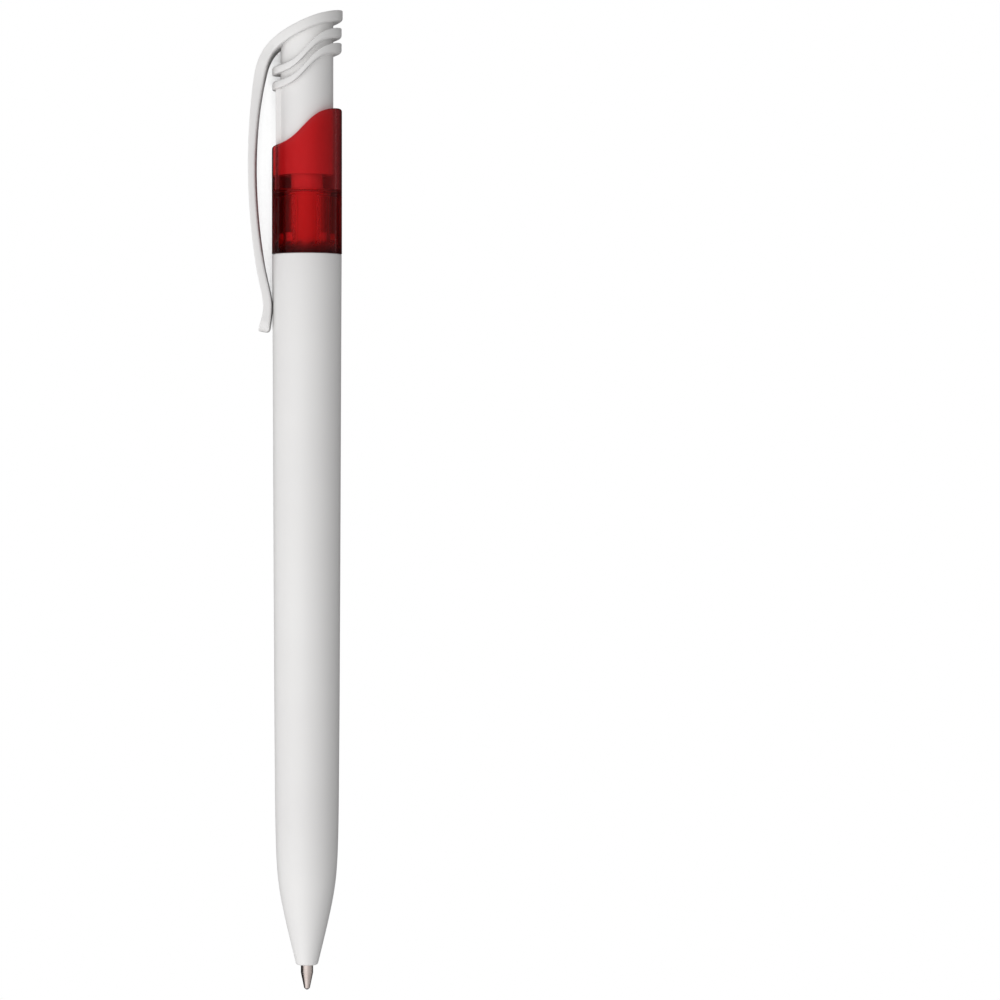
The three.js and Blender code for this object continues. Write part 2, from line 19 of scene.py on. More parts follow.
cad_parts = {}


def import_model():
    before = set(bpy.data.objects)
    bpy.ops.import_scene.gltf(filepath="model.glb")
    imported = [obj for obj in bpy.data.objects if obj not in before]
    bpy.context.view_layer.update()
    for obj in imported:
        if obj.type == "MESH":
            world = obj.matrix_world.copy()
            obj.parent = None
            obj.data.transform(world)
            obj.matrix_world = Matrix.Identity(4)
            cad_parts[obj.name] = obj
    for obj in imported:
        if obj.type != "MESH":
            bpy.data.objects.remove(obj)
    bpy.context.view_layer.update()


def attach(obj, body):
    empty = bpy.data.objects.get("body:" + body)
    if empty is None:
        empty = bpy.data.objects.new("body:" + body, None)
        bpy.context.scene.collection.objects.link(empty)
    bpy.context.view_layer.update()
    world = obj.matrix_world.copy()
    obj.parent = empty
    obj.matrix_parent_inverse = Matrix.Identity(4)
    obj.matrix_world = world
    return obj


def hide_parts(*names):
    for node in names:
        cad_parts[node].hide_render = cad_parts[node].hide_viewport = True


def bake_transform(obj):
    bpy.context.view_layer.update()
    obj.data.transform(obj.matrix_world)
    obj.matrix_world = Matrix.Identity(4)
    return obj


log = logging.getLogger("pen")

Corner = tuple[float, float]
Spot = tuple[float, float, float]
Colour = tuple[float, float, float, float]
Place = Callable[[float, float, float], Spot]
Values = dict[str | int, object]
Mesh = bmesh.types.BMesh
Socket = bpy.types.NodeSocket
Tree = bpy.types.NodeTree

MILLIMETRE = 0.001
MERGE_DISTANCE = 1e-4
NEARLY = 1e-3
ROUNDING_ERROR = 1e-6
QUARTER = math.pi / 2
TEETH = 8
AXIS = {"axis": (1, 0, 0), "cent": (0, 0, 0)}
SMOOTH_ANGLE = math.radians(32)


class Body(str, Enum):
    """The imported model's bodies."""

    ROOT = "root"
    BUTTON = "button"
    REFILL = "refill"
    ROTOR = "rotor"
    BALL = "ball"


class Slot(str, Enum):
    """The material slots' names."""

    WHITE = "white_plastic"
    RED = "red_plastic"
    TUBE = "clear_tube"
    INK = "red_ink"
    NATURAL = "natural_plastic"
    NICKEL = "nickel_silver"
    SPRING = "spring_steel"
    CARBIDE = "carbide"


@dataclass(frozen=True)
class PenFrame:
    """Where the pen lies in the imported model's frame."""

    middle_station: float = 70.0
    axis_height: float = 5.1
    clip_reach: float = 8.33
    clip_half_width: float = 2.2

    @property
    def roll(self) -> float:
        """How far the pen is rolled over until its clip touches the table.

        Returns:
            The angle in radians.
        """
        corner = math.hypot(self.clip_reach, self.clip_half_width)
        half_angle = math.atan2(self.clip_half_width, self.clip_reach)
        return math.asin(self.axis_height / corner) - half_angle

    @property
    def turn(self) -> Matrix:
        """The pen's turn about its own axis."""
        return Matrix.Rotation(-self.roll, 4, "X")

    @property
    def matrix(self) -> Matrix:
        """The move from the pen's frame, in millimetres, to the model's frame, in metres.

        Returns:
            The move.
        """
        along, up = math.cos(self.roll), math.sin(self.roll)
        clip_side = self.clip_reach * along + self.clip_half_width * up
        sideways = (self.axis_height - clip_side) / 2
        shift = Matrix.Translation((-self.middle_station, sideways, self.axis_height))
        return Matrix.Scale(MILLIMETRE, 4) @ shift @ self.turn

    def point(self, station: float, reach: float = 0.0, across: float = 0.0) -> Vector:
        """A point of the pen in the model's frame."""
        return self.matrix @ Vector((station, reach, across))


PEN = PenFrame()


# Mesh tools


def linked(name: str, data: object) -> bpy.types.Object:
    """Puts a new object with some data into the scene.

    Args:
        name: The object's name.
        data: Its mesh, lamp or camera.

    Returns:
        The object.
    """
    thing = bpy.data.objects.new(name, data)
    bpy.context.scene.collection.objects.link(thing)
    return thing


def stored(name: str, bm: Mesh) -> bpy.types.Mesh:
    """Stores a bmesh, which is used up.

    Args:
        name: The new mesh's name.
        bm: The bmesh.

    Returns:
        The new mesh.
    """
    mesh = bpy.data.meshes.new(name)
    bm.to_mesh(mesh)
    bm.free()
    return mesh


def soft_step(reach: float, middle: float, half: float, step_reach: float, centre: float) -> float:
    """The station of a wave that falls softly from the pen's back towards its clip.

    Args:
        reach: How far towards the clip the point lies.
        middle: The wave's middle station.
        half: How far it rises and falls from there.
        step_reach: How wide the step is.
        centre: The reach at which it passes its middle.

    Returns:
        The wave's station there.
    """
    return middle - half * math.tanh((reach - centre) / step_reach)


def sawtooth(angle: float, first: float, rise: float) -> float:
    """How high a ring of sloping teeth stands.

    Args:
        angle: Where it is asked for.
        first: The angle of the first tooth's step.
        rise: How high each tooth is.

    Returns:
        The height there.
    """
    turns = (angle - first) * TEETH / (2 * math.pi)
    return rise * (turns - math.floor(turns))


def walls(*stretches: Sequence[float]) -> list[Corner]:
    """Lists a profile's corners, wall by wall.

    Args:
        stretches: Each wall's radius, followed by the stations of its corners.

    Returns:
        The (radius, station) corners in order.
    """
    return [(radius, station) for radius, *stations in stretches for station in stations]


def sealed(bm: Mesh, capped: bool = False) -> Mesh:
    """Merges doubles, drops the edges that no face uses and turns the faces outward.

    Args:
        bm: The mesh.
        capped: Whether its open ends are closed too.

    Returns:
        The same mesh.
    """
    bmesh.ops.remove_doubles(bm, verts=bm.verts, dist=MERGE_DISTANCE)
    loose = [edge for edge in bm.edges if not edge.link_faces]
    bmesh.ops.delete(bm, geom=loose, context="EDGES")
    if capped:
        bmesh.ops.holes_fill(bm, edges=[edge for edge in bm.edges if edge.is_boundary], sides=0)
    bmesh.ops.recalc_face_normals(bm, faces=bm.faces)
    return bm


def spun(corners: Sequence[Corner], steps: int) -> Mesh:
    """Turns a closed profile of (radius, station) corners about the pen's axis.

    Args:
        corners: The profile's corners in order.
        steps: The number of steps in the full turn.

    Returns:
        A closed bmesh in the pen's frame.
    """
    bm = bmesh.new()
    spots = [bm.verts.new((station, radius, 0.0)) for radius, station in corners]
    edges = [bm.edges.new(link) for link in zip(spots, [*spots[1:], spots[0]])]
    bmesh.ops.spin(
        bm, geom=[*spots, *edges], **AXIS, angle=2 * math.pi, steps=steps, use_merge=True
    )
    return sealed(bm)


def bevelled(bm: Mesh, edges: list[bmesh.types.BMEdge], width: float, segments: int) -> Mesh:
    """Rounds some edges of a mesh.

    Args:
        bm: The mesh.
        edges: The edges to round.
        width: How far the rounding reaches from each edge.
        segments: The number of steps in each rounding.

    Returns:
        The same mesh.
    """
    bmesh.ops.bevel(
        bm, geom=edges, offset=width, offset_type="OFFSET", segments=segments, profile=0.5,
        affect="EDGES", material=-1, clamp_overlap=True,
    )
    return bm


def soften(bm: Mesh, corners: Sequence[Corner], width: float, segments: int = 3) -> None:
    """Rounds the ring edges of a turned mesh that lie at some of its profile's corners.

    Args:
        bm: The turned mesh, before anything shifts it.
        corners: The (radius, station) corners to round.
        width: How far the rounding reaches from each edge.
        segments: The number of steps in each rounding.
    """

    def corner_at(spot: bmesh.types.BMVert) -> int:
        """Finds the corner that a vertex lies at.

        Args:
            spot: The vertex.

        Returns:
            The corner's number, or -1.
        """
        radius = math.hypot(spot.co.y, spot.co.z)
        for number, (corner_radius, station) in enumerate(corners):
            if abs(spot.co.x - station) < NEARLY and abs(radius - corner_radius) < NEARLY:
                return number
        return -1

    found = {spot: corner_at(spot) for spot in bm.verts}
    edges = [edge for edge in bm.edges if found[edge.verts[0]] == found[edge.verts[1]] >= 0]
    bevelled(bm, edges, width, segments)


def moved(bm: Mesh, place: Place) -> Mesh:
    """Moves each vertex of a mesh by its own station, reach and cross position.

    Args:
        bm: The mesh to move.
        place: Gives a vertex's new station, reach and cross position.

    Returns:
        The same mesh.
    """
    for spot in bm.verts:
        spot.co = Vector(place(*spot.co))
    return bm


def lofted(sections: Sequence[Sequence[Vector]]) -> Mesh:
    """Draws a ring of edges through a row of sections and closes both ends.

    Args:
        sections: Closed sections with the same number of points each.

    Returns:
        A closed bmesh in the pen's frame.
    """
    bm = bmesh.new()
    number = bm.verts.layers.int.new("number")
    first = bmesh.ops.create_circle(bm, cap_ends=False, segments=len(sections[0]), radius=1.0)
    for i, spot in enumerate(first["verts"]):
        spot[number] = i
        spot.co = sections[0][i]
    edges = list(bm.edges)
    for section in sections[1:]:
        grown = bmesh.ops.extrude_edge_only(bm, edges=edges)["geom"]
        spots = {item for item in grown if isinstance(item, bmesh.types.BMVert)}
        for spot in spots:
            spot.co = section[spot[number]]
        links = (item for item in grown if isinstance(item, bmesh.types.BMEdge))
        edges = [link for link in links if set(link.verts) <= spots]
    bm.verts.layers.int.remove(number)
    return sealed(bm, capped=True)


def block(low: Corner, high: Corner, width: float, edge: float) -> Mesh:
    """A block with rounded edges, centred across the clip.

    Args:
        low: Its lowest station and reach.
        high: Its highest station and reach.
        width: Its width across the clip.
        edge: How far its rounding reaches from each edge.

    Returns:
        A closed bmesh in the pen's frame.
    """
    bm = bmesh.new()
    bmesh.ops.create_cube(bm, size=1.0)
    bmesh.ops.scale(bm, vec=(high[0] - low[0], high[1] - low[1], width), verts=bm.verts)
    middle = ((low[0] + high[0]) / 2, (low[1] + high[1]) / 2, 0.0)
    bmesh.ops.translate(bm, vec=middle, verts=bm.verts)
    return bevelled(bm, bm.edges[:], edge, segments=3)


def smooth_line(marks: Sequence[Vector], steps: int) -> list[Vector]:
    """Points of a smooth curve through marks, with its speed set by how far apart they lie.

    Args:
        marks: The marks that the curve passes.
        steps: The number of steps between its first and last point.

    Returns:
        The curve's points.
    """
    padded = [marks[0] * 2 - marks[1], *marks, marks[-1] * 2 - marks[-2]]
    points = []
    for i in range(steps + 1):
        share = (len(marks) - 1) * i / steps
        span = min(int(share), len(marks) - 2)
        a, b, c, d = padded[span : span + 4]
        first, second, third = [
            math.sqrt((q - p).length) for p, q in ((a, b), (b, c), (c, d))
        ]
        leaving = ((b - a) / first - (c - a) / (first + second) + (c - b) / second) * second
        coming = ((c - b) / second - (d - b) / (second + third) + (d - c) / third) * second
        t = share - span
        square, cube = t * t, t * t * t
        points.append(
            b
            + leaving * t
            + ((c - b) * 3 - leaving * 2 - coming) * square
            + ((b - c) * 2 + leaving + coming) * cube
        )
    return points


def united(parts: Sequence[Mesh]) -> Mesh:
    """Joins closed meshes into one body without inner walls.

    Args:
        parts: Closed meshes that overlap one another. They are used up.

    Returns:
        The joined body.
    """
    body, *others = [linked("joining", stored("joining", part)) for part in parts]
    for other in others:
        join = body.modifiers.new("join", "BOOLEAN")
        join.operation = "UNION"
        join.solver = "MANIFOLD"
        join.object = other
    result = bmesh.new()
    result.from_object(body, bpy.context.evaluated_depsgraph_get())
    for holder in (body, *others):
        mesh = holder.data
        bpy.data.objects.remove(holder)
        bpy.data.meshes.remove(mesh)
    bmesh.ops.remove_doubles(result, verts=result.verts, dist=MERGE_DISTANCE)
    return result


def finished(
    name: str, node: str, bm: Mesh, material: bpy.types.Material, slot: Slot, body: Body | None
) -> bpy.types.Object:
    """Turns a mesh in the pen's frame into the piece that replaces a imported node.

    Args:
        name: The piece's name.
        node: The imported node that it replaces.
        bm: Its mesh, which is used up.
        material: Its finish.
        slot: The slot for its finish; not used.
        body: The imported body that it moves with, or None for a piece that moves with none.

    Returns:
        The piece's object, at the origin.
    """
    bm.transform(PEN.matrix)
    faulty = sum(1 for edge in bm.edges if not edge.is_manifold)
    mesh = stored(name, bm)
    mesh.shade_smooth()
    mesh.set_sharp_from_angle(angle=SMOOTH_ANGLE)
    mesh.materials.append(material)
    piece = linked(name, mesh)
    if body is not None:
        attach(piece, body.value)
    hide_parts(node)
    mesh.calc_loop_triangles()
    count = len(mesh.loop_triangles)
    log.info("%s: %d triangles, %d edges open or shared", name, count, faulty)
    return piece


# Finishes


class Board:
    """A node tree with short ways to place and link nodes."""

    def __init__(self, tree: Tree) -> None:
        """Keeps the tree."""
        self.tree = tree

    def put(self, value: object, socket: Socket) -> None:
        """Links an output to an input, or sets the input's own value.

        Args:
            value: The output, or the plain value.
            socket: The input.
        """
        if isinstance(value, bpy.types.NodeSocket):
            self.tree.links.new(value, socket)
        else:
            socket.default_value = value

    def fill(self, node: bpy.types.Node, values: Values) -> None:
        """Links or sets several inputs of a node, by name or number."""
        for key, value in values.items():
            self.put(value, node.inputs[key])

    def add(
        self, kind: str, values: Values | None = None, **settings: object
    ) -> bpy.types.bpy_prop_collection:
        """Places a node.

        Args:
            kind: The node's type.
            values: What goes into its inputs, by name or number.
            **settings: Its properties.

        Returns:
            The node's outputs.
        """
        node = self.tree.nodes.new(kind)
        for key, value in settings.items():
            setattr(node, key, value)
        self.fill(node, values or {})
        return node.outputs

    def place(self) -> Socket:
        """The object's own coordinates."""
        return self.add("ShaderNodeTexCoord")["Object"]

    def split(self, vector: Socket) -> bpy.types.bpy_prop_collection:
        """The X, Y and Z of a vector."""
        return self.add("ShaderNodeSeparateXYZ", {0: vector})

    def mix(self, share: object, low: object, high: object) -> Socket:
        """Mixes two colours by a share."""
        return self.add("ShaderNodeMix", {0: share, 6: low, 7: high}, data_type="RGBA")[2]

    def mix_numbers(self, share: object, low: object, high: object) -> Socket:
        """Mixes two numbers by a share."""
        return self.add("ShaderNodeMix", {0: share, 2: low, 3: high}, data_type="FLOAT")[0]

    def mix_shaders(self, share: Socket, low: Socket, high: Socket) -> None:
        """Mixes two shaders by a share, as the surface of the whole material."""
        surface = self.add("ShaderNodeMixShader", {0: share, 1: low, 2: high})[0]
        self.fill(self.tree.nodes["Material Output"], {"Surface": surface})

    def math(self, operation: str, *numbers: object) -> Socket:
        """Works on up to three numbers."""
        return self.add("ShaderNodeMath", dict(enumerate(numbers)), operation=operation)[0]

    def vector_math(self, operation: str, *vectors: object) -> bpy.types.bpy_prop_collection:
        """Works on one or two vectors."""
        return self.add("ShaderNodeVectorMath", dict(enumerate(vectors)), operation=operation)

    def spread(
        self, value: object, low: object, high: object, start: float = 0.3, end: float = 0.7
    ) -> Socket:
        """Spreads a number from one range to another.

        Args:
            value: The number.
            low: What the range's start becomes.
            high: What its end becomes.
            start: Where the range starts, by default for a noise value.
            end: Where it ends.

        Returns:
            The new number.
        """
        ends = {"From Min": start, "From Max": end, "To Min": low, "To Max": high}
        return self.add("ShaderNodeMapRange", {"Value": value} | ends)["Result"]

    def noise(self, vector: object, scale: object, detail: float = 2.0) -> Socket:
        """A noise value at a scale."""
        values = {"Vector": vector, "Scale": scale, "Detail": detail}
        return self.add("ShaderNodeTexNoise", values)["Fac"]

    def mapped(self, vector: Socket, scale: Spot, location: Spot = (0.0, 0.0, 0.0)) -> Socket:
        """A vector that is stretched and then shifted."""
        values = {"Vector": vector, "Location": location, "Scale": scale}
        return self.add("ShaderNodeMapping", values)["Vector"]


Pattern = Callable[[Board, bpy.types.bpy_prop_collection, Socket], tuple[Socket, Socket, Socket]]


def effect(name: str, own: dict[str, str], pattern: Pattern) -> Tree:
    """Builds a shader node group that two tones, a range of roughness and a relief come from.

    Args:
        name: The group's name.
        own: The socket kind of each input that only this group has.
        pattern: Draws where the tones and the roughness change, and the height.

    Returns:
        The group's tree.
    """
    tree = bpy.data.node_groups.new(name, "ShaderNodeTree")
    colour, number = "NodeSocketColor", "NodeSocketFloat"
    inputs = {"Tone": colour, "Second Tone": colour, "Smoothest": number, "Roughest": number}
    outputs = {"Colour": colour, "Roughness": number, "Height": number}
    for way, sockets in (("INPUT", inputs | own), ("OUTPUT", outputs)):
        for key, kind in sockets.items():
            tree.interface.new_socket(key, in_out=way, socket_type=kind)
    board = Board(tree)
    given = board.add("NodeGroupInput")
    patches, worn, height = pattern(board, given, board.place())
    tone = board.mix(board.spread(patches, 0.0, 1.0), given["Tone"], given["Second Tone"])
    rough = board.spread(worn, given["Smoothest"], given["Roughest"])
    board.add("NodeGroupOutput", {"Colour": tone, "Roughness": rough, "Height": height})
    return tree


def skin_pattern(
    board: Board, given: bpy.types.bpy_prop_collection, place: Socket
) -> tuple[Socket, Socket, Socket]:
    """The skin of moulded plastic: slow changes of tone, a fine grain and drag along the pen.

    Args:
        board: The group's board.
        given: The group's inputs.
        place: The coordinates that it is drawn in.

    Returns:
        The patches, the wear and the height.
    """
    drag_stretch, drag_scale, drag_share, patch_height = (0.05, 1.0, 1.0), 2600.0, 0.35, 2.0
    patches = board.noise(place, given["Patch Scale"], detail=3.0)
    grain = board.noise(place, given["Grain Scale"])
    drag = board.noise(board.mapped(place, drag_stretch), drag_scale)
    rest = board.math("MULTIPLY", patches, 1 - drag_share)
    worn = board.math("MULTIPLY_ADD", drag, drag_share, rest)
    height = board.math("ADD", grain, board.math("MULTIPLY", patches, patch_height))
    return patches, worn, height


def line_pattern(
    board: Board, given: bpy.types.bpy_prop_collection, place: Socket
) -> tuple[Socket, Socket, Socket]:
    """The fine lines that a tool or a die leaves on metal, round the pen or along it.

    Args:
        board: The group's board.
        given: The group's inputs.
        place: The coordinates that it is drawn in.

    Returns:
        The stains, and the lines as wear and as height.
    """
    stain_scale = 700.0
    drawn_out = board.vector_math("MULTIPLY", place, given["Stretch"])["Vector"]
    lines = board.noise(drawn_out, given["Line Scale"])
    return board.noise(place, stain_scale, detail=3.0), lines, lines


@dataclass(frozen=True)
class Finish:
    """A finish: a shared effect with its own values, on a plain shader."""

    name: str
    tone: Colour
    second_tone: Colour
    smoothest: float
    roughest: float
    relief: float = 2e-6
    metallic: float = 0.0
    ior: float = 1.5
    transmission: float = 0.0

    def values(self) -> Values:
        """The effect's own values for this finish.

        Returns:
            Each value by its input's name.
        """
        return {
            "Tone": self.tone,
            "Second Tone": self.second_tone,
            "Smoothest": self.smoothest,
            "Roughest": self.roughest,
        }

    def build(self, group: Tree) -> bpy.types.Material:
        """Makes the material.

        Args:
            group: The effect that this finish uses.

        Returns:
            The new material.
        """
        material = bpy.data.materials.new(self.name)
        material.use_nodes = True
        board = Board(material.node_tree)
        skin = board.add("ShaderNodeGroup", self.values(), node_tree=group)
        bump = board.add("ShaderNodeBump", {"Distance": self.relief, "Height": skin["Height"]})
        values = {
            "Base Color": skin["Colour"],
            "Roughness": skin["Roughness"],
            "Normal": bump["Normal"],
            "Metallic": self.metallic,
            "IOR": self.ior,
            "Transmission Weight": self.transmission,
        }
        board.fill(material.node_tree.nodes["Principled BSDF"], values)
        return material


@dataclass(frozen=True)
class MouldedPlastic(Finish):
    """Plastic as it comes out of a polished mould."""

    patch_scale: float = 60.0
    grain_scale: float = 4000.0

    def values(self) -> Values:
        """The skin's values, with its patches and grain."""
        own = {"Patch Scale": self.patch_scale, "Grain Scale": self.grain_scale}
        return super().values() | own


@dataclass(frozen=True)
class SeeThroughPlastic(MouldedPlastic):
    """Clear plastic that colours the light on its way through."""

    depth_colour: Colour = (0.975, 0.87, 0.87, 1.0)
    density: float = 1900.0
    lamp_tint: Colour = (1.0, 0.41, 0.42, 1.0)
    steep_tint: Colour = (0.12, 0.02, 0.02, 1.0)
    slant_blend: float = 0.5
    mirror_tint: Colour = (1.0, 0.35, 0.35, 1.0)
    guide_roughness: float = 0.6
    bore_roughness: float = 0.25
    bore_from: float = 0.00405
    polished_from: float = 0.0046
    # Painted shade at the collar's foot: the dark colour and the span of stations that it fades
    # over.
    foot_shade_tone: Colour = (0.04, 0.004, 0.008, 1.0)
    foot: Corner = (105.05, 106.8)

    def build(self, group: Tree) -> bpy.types.Material:
        """Makes the material, fills it with its colour and lets the lamp shine through.

        The mould is polished outside, less so in the bore and matt round the guides. Towards the
        foot, where the wall is thick, the colour is darkened as painted shade for the barrel's
        shadow.

        Args:
            group: The effect that this finish uses.

        Returns:
            The new material.
        """
        material = super().build(group)
        board = Board(material.node_tree)
        nodes = material.node_tree.nodes
        shader = nodes["Principled BSDF"]
        skin, polish = [
            shader.inputs[key].links[0].from_socket for key in ("Base Color", "Roughness")
        ]
        place = board.place()
        # Painted shade: the base colour darkens towards the collar's foot, in place of the barrel's
        # shadow there.
        stations = [PEN.point(station).x for station in self.foot]
        above_painted_shade = board.spread(board.split(place)["X"], 0.0, 1.0, *stations)
        axis = PEN.point(0.0)
        off_axis = board.mapped(place, (0.0, 1.0, 1.0), (0.0, -axis.y, -axis.z))
        radius = board.vector_math("LENGTH", off_axis)["Value"]
        rough = self.guide_roughness
        for start, beyond in ((self.bore_from, self.bore_roughness), (self.polished_from, polish)):
            rough = board.mix_numbers(board.math("GREATER_THAN", radius, start), rough, beyond)
        values = {
            "Base Color": board.mix(above_painted_shade, self.foot_shade_tone, skin),
            "Roughness": rough,
            "Specular Tint": self.mirror_tint,
        }
        board.fill(shader, values)
        depth = {"Color": self.depth_colour, "Density": self.density}
        volume = board.add("ShaderNodeVolumeAbsorption", depth)["Volume"]
        board.fill(nodes["Material Output"], {"Volume": volume})
        slant = board.add("ShaderNodeLayerWeight", {"Blend": self.slant_blend})["Facing"]
        tint = board.mix(slant, self.lamp_tint, self.steep_tint)
        clear = board.add("ShaderNodeBsdfTransparent", {"Color": tint})[0]
        shadow = board.add("ShaderNodeLightPath")["Is Shadow Ray"]
        board.mix_shaders(shadow, shader.outputs[0], clear)
        return material


@dataclass(frozen=True)
class WorkedMetal(Finish):
    """Metal with the lines of the tool or die that shaped it."""

    metallic: float = 1.0
    line_scale: float = 9000.0
    stretch: Spot = (1.0, 0.03, 0.03)

    def values(self) -> Values:
        """The lines' values, with their scale and direction."""
        return super().values() | {"Line Scale": self.line_scale, "Stretch": self.stretch}


class Finishes:
    """All the pen's finishes."""

    def __init__(self) -> None:
        """Builds the shared effects and each finish."""
        number = "NodeSocketFloat"
        skin = effect("moulded_skin", {"Patch Scale": number, "Grain Scale": number}, skin_pattern)
        own = {"Line Scale": number, "Stretch": "NodeSocketVector"}
        lines = effect("worked_lines", own, line_pattern)
        self.white = MouldedPlastic(
            "white_moulded_plastic", (0.83, 0.822, 0.815, 1.0), (0.80, 0.79, 0.785, 1.0), 0.34, 0.44
        ).build(skin)
        self.inner_white = MouldedPlastic(
            "inner_white_plastic", (0.82, 0.815, 0.80, 1.0), (0.77, 0.765, 0.755, 1.0), 0.36, 0.46
        ).build(skin)
        self.red = SeeThroughPlastic(
            "red_see_through_plastic", (1.0, 0.18, 0.21, 1.0), (0.985, 0.165, 0.19, 1.0), 0.08,
            0.14, relief=1e-6, ior=1.36, transmission=1.0,
        ).build(skin)
        self.tube = MouldedPlastic(
            "milky_tube_plastic", (0.84, 0.84, 0.82, 1.0), (0.78, 0.78, 0.76, 1.0), 0.28, 0.4,
            transmission=0.6,
        ).build(skin)
        self.natural = MouldedPlastic(
            "natural_plastic", (0.74, 0.72, 0.64, 1.0), (0.68, 0.66, 0.58, 1.0), 0.4, 0.55
        ).build(skin)
        self.ink = MouldedPlastic(
            "red_ink", (0.30, 0.008, 0.012, 1.0), (0.20, 0.004, 0.008, 1.0), 0.08, 0.2
        ).build(skin)
        self.nickel = WorkedMetal(
            "turned_nickel_silver", (0.95, 0.83, 0.78, 1.0), (0.88, 0.75, 0.70, 1.0), 0.2, 0.34
        ).build(lines)
        self.spring = WorkedMetal(
            "drawn_spring_wire", (0.62, 0.62, 0.64, 1.0), (0.52, 0.52, 0.54, 1.0), 0.22, 0.36,
            stretch=(1.0, 1.0, 1.0),
        ).build(lines)
        self.carbide = WorkedMetal(
            "polished_carbide", (0.36, 0.36, 0.38, 1.0), (0.30, 0.30, 0.32, 1.0), 0.06, 0.14,
            relief=2e-7,
        ).build(lines)


# Sub-assemblies


@dataclass
class Barrel:
    """The white barrel with its nose, spring seat and collar socket."""

    steps: int = 160
    start: float = 3.55
    top: float = 105.1
    top_radius: float = 4.97
    knee_radius: float = 4.61
    knee: float = 15.0
    knee_row: float = 0.6
    knee_rows: int = 40
    body_rows: tuple[float, ...] = (40.0, 60.0, 80.0, 100.0)
    nose_radius: float = 1.63
    nose_slope: float = 0.257
    softness: float = 0.57
    nose_corner: float = 0.3
    hole: float = 0.95
    point_room: float = 1.29
    hole_end: float = 7.0
    spring_seat: float = 10.6
    spring_room: float = 2.2
    bore: float = 3.35
    bore_start: float = 21.6
    socket: float = 3.97
    socket_floor: float = 95.1
    groove: Corner = (99.15, 100.15)
    groove_depth: float = 0.15
    lip: float = 0.12

    def radius_at(self, station: float) -> float:
        """The outside radius: a slightly tapered body that meets the nose in a soft knee.

        Args:
            station: Where it is asked for.

        Returns:
            The radius there.
        """
        rise = (self.top_radius - self.knee_radius) / (self.top - self.knee)
        body = self.knee_radius + rise * (station - self.knee)
        cone = self.nose_radius + self.nose_slope * (station - self.start)
        return (body + cone) / 2 - math.hypot((cone - body) / 2, self.softness)

    def mesh(self) -> Mesh:
        """Turns the barrel and rounds its nose and its open end.

        Returns:
            A closed bmesh in the pen's frame.
        """
        row, depth = self.knee_row, self.groove_depth
        rows = [self.start + row + row * i for i in range(self.knee_rows)]
        stations = (self.start, *rows, *self.body_rows, self.top)
        outside = [(self.radius_at(station), station) for station in stations]
        low, high = self.groove
        inside = walls(
            (self.socket, self.top, high),
            (self.socket + depth, high - depth, low + depth),
            (self.socket, low, self.socket_floor),
            (self.bore, self.socket_floor, self.bore_start),
            (self.spring_room, self.bore_start - (self.bore - self.spring_room), self.spring_seat),
            (self.point_room, self.spring_seat, self.hole_end),
            (self.hole, self.hole_end, self.start),
        )
        bm = spun([*outside, *inside], self.steps)
        soften(bm, outside[:1], self.nose_corner, segments=5)
        soften(bm, [outside[-1], inside[0], inside[-1]], self.lip)
        return bm

    def build(self, finishes: Finishes) -> None:
        """Makes the barrel."""
        mesh = self.mesh()
        finished("barrel_moulding", "barrel", mesh, finishes.white, Slot.WHITE, Body.ROOT)


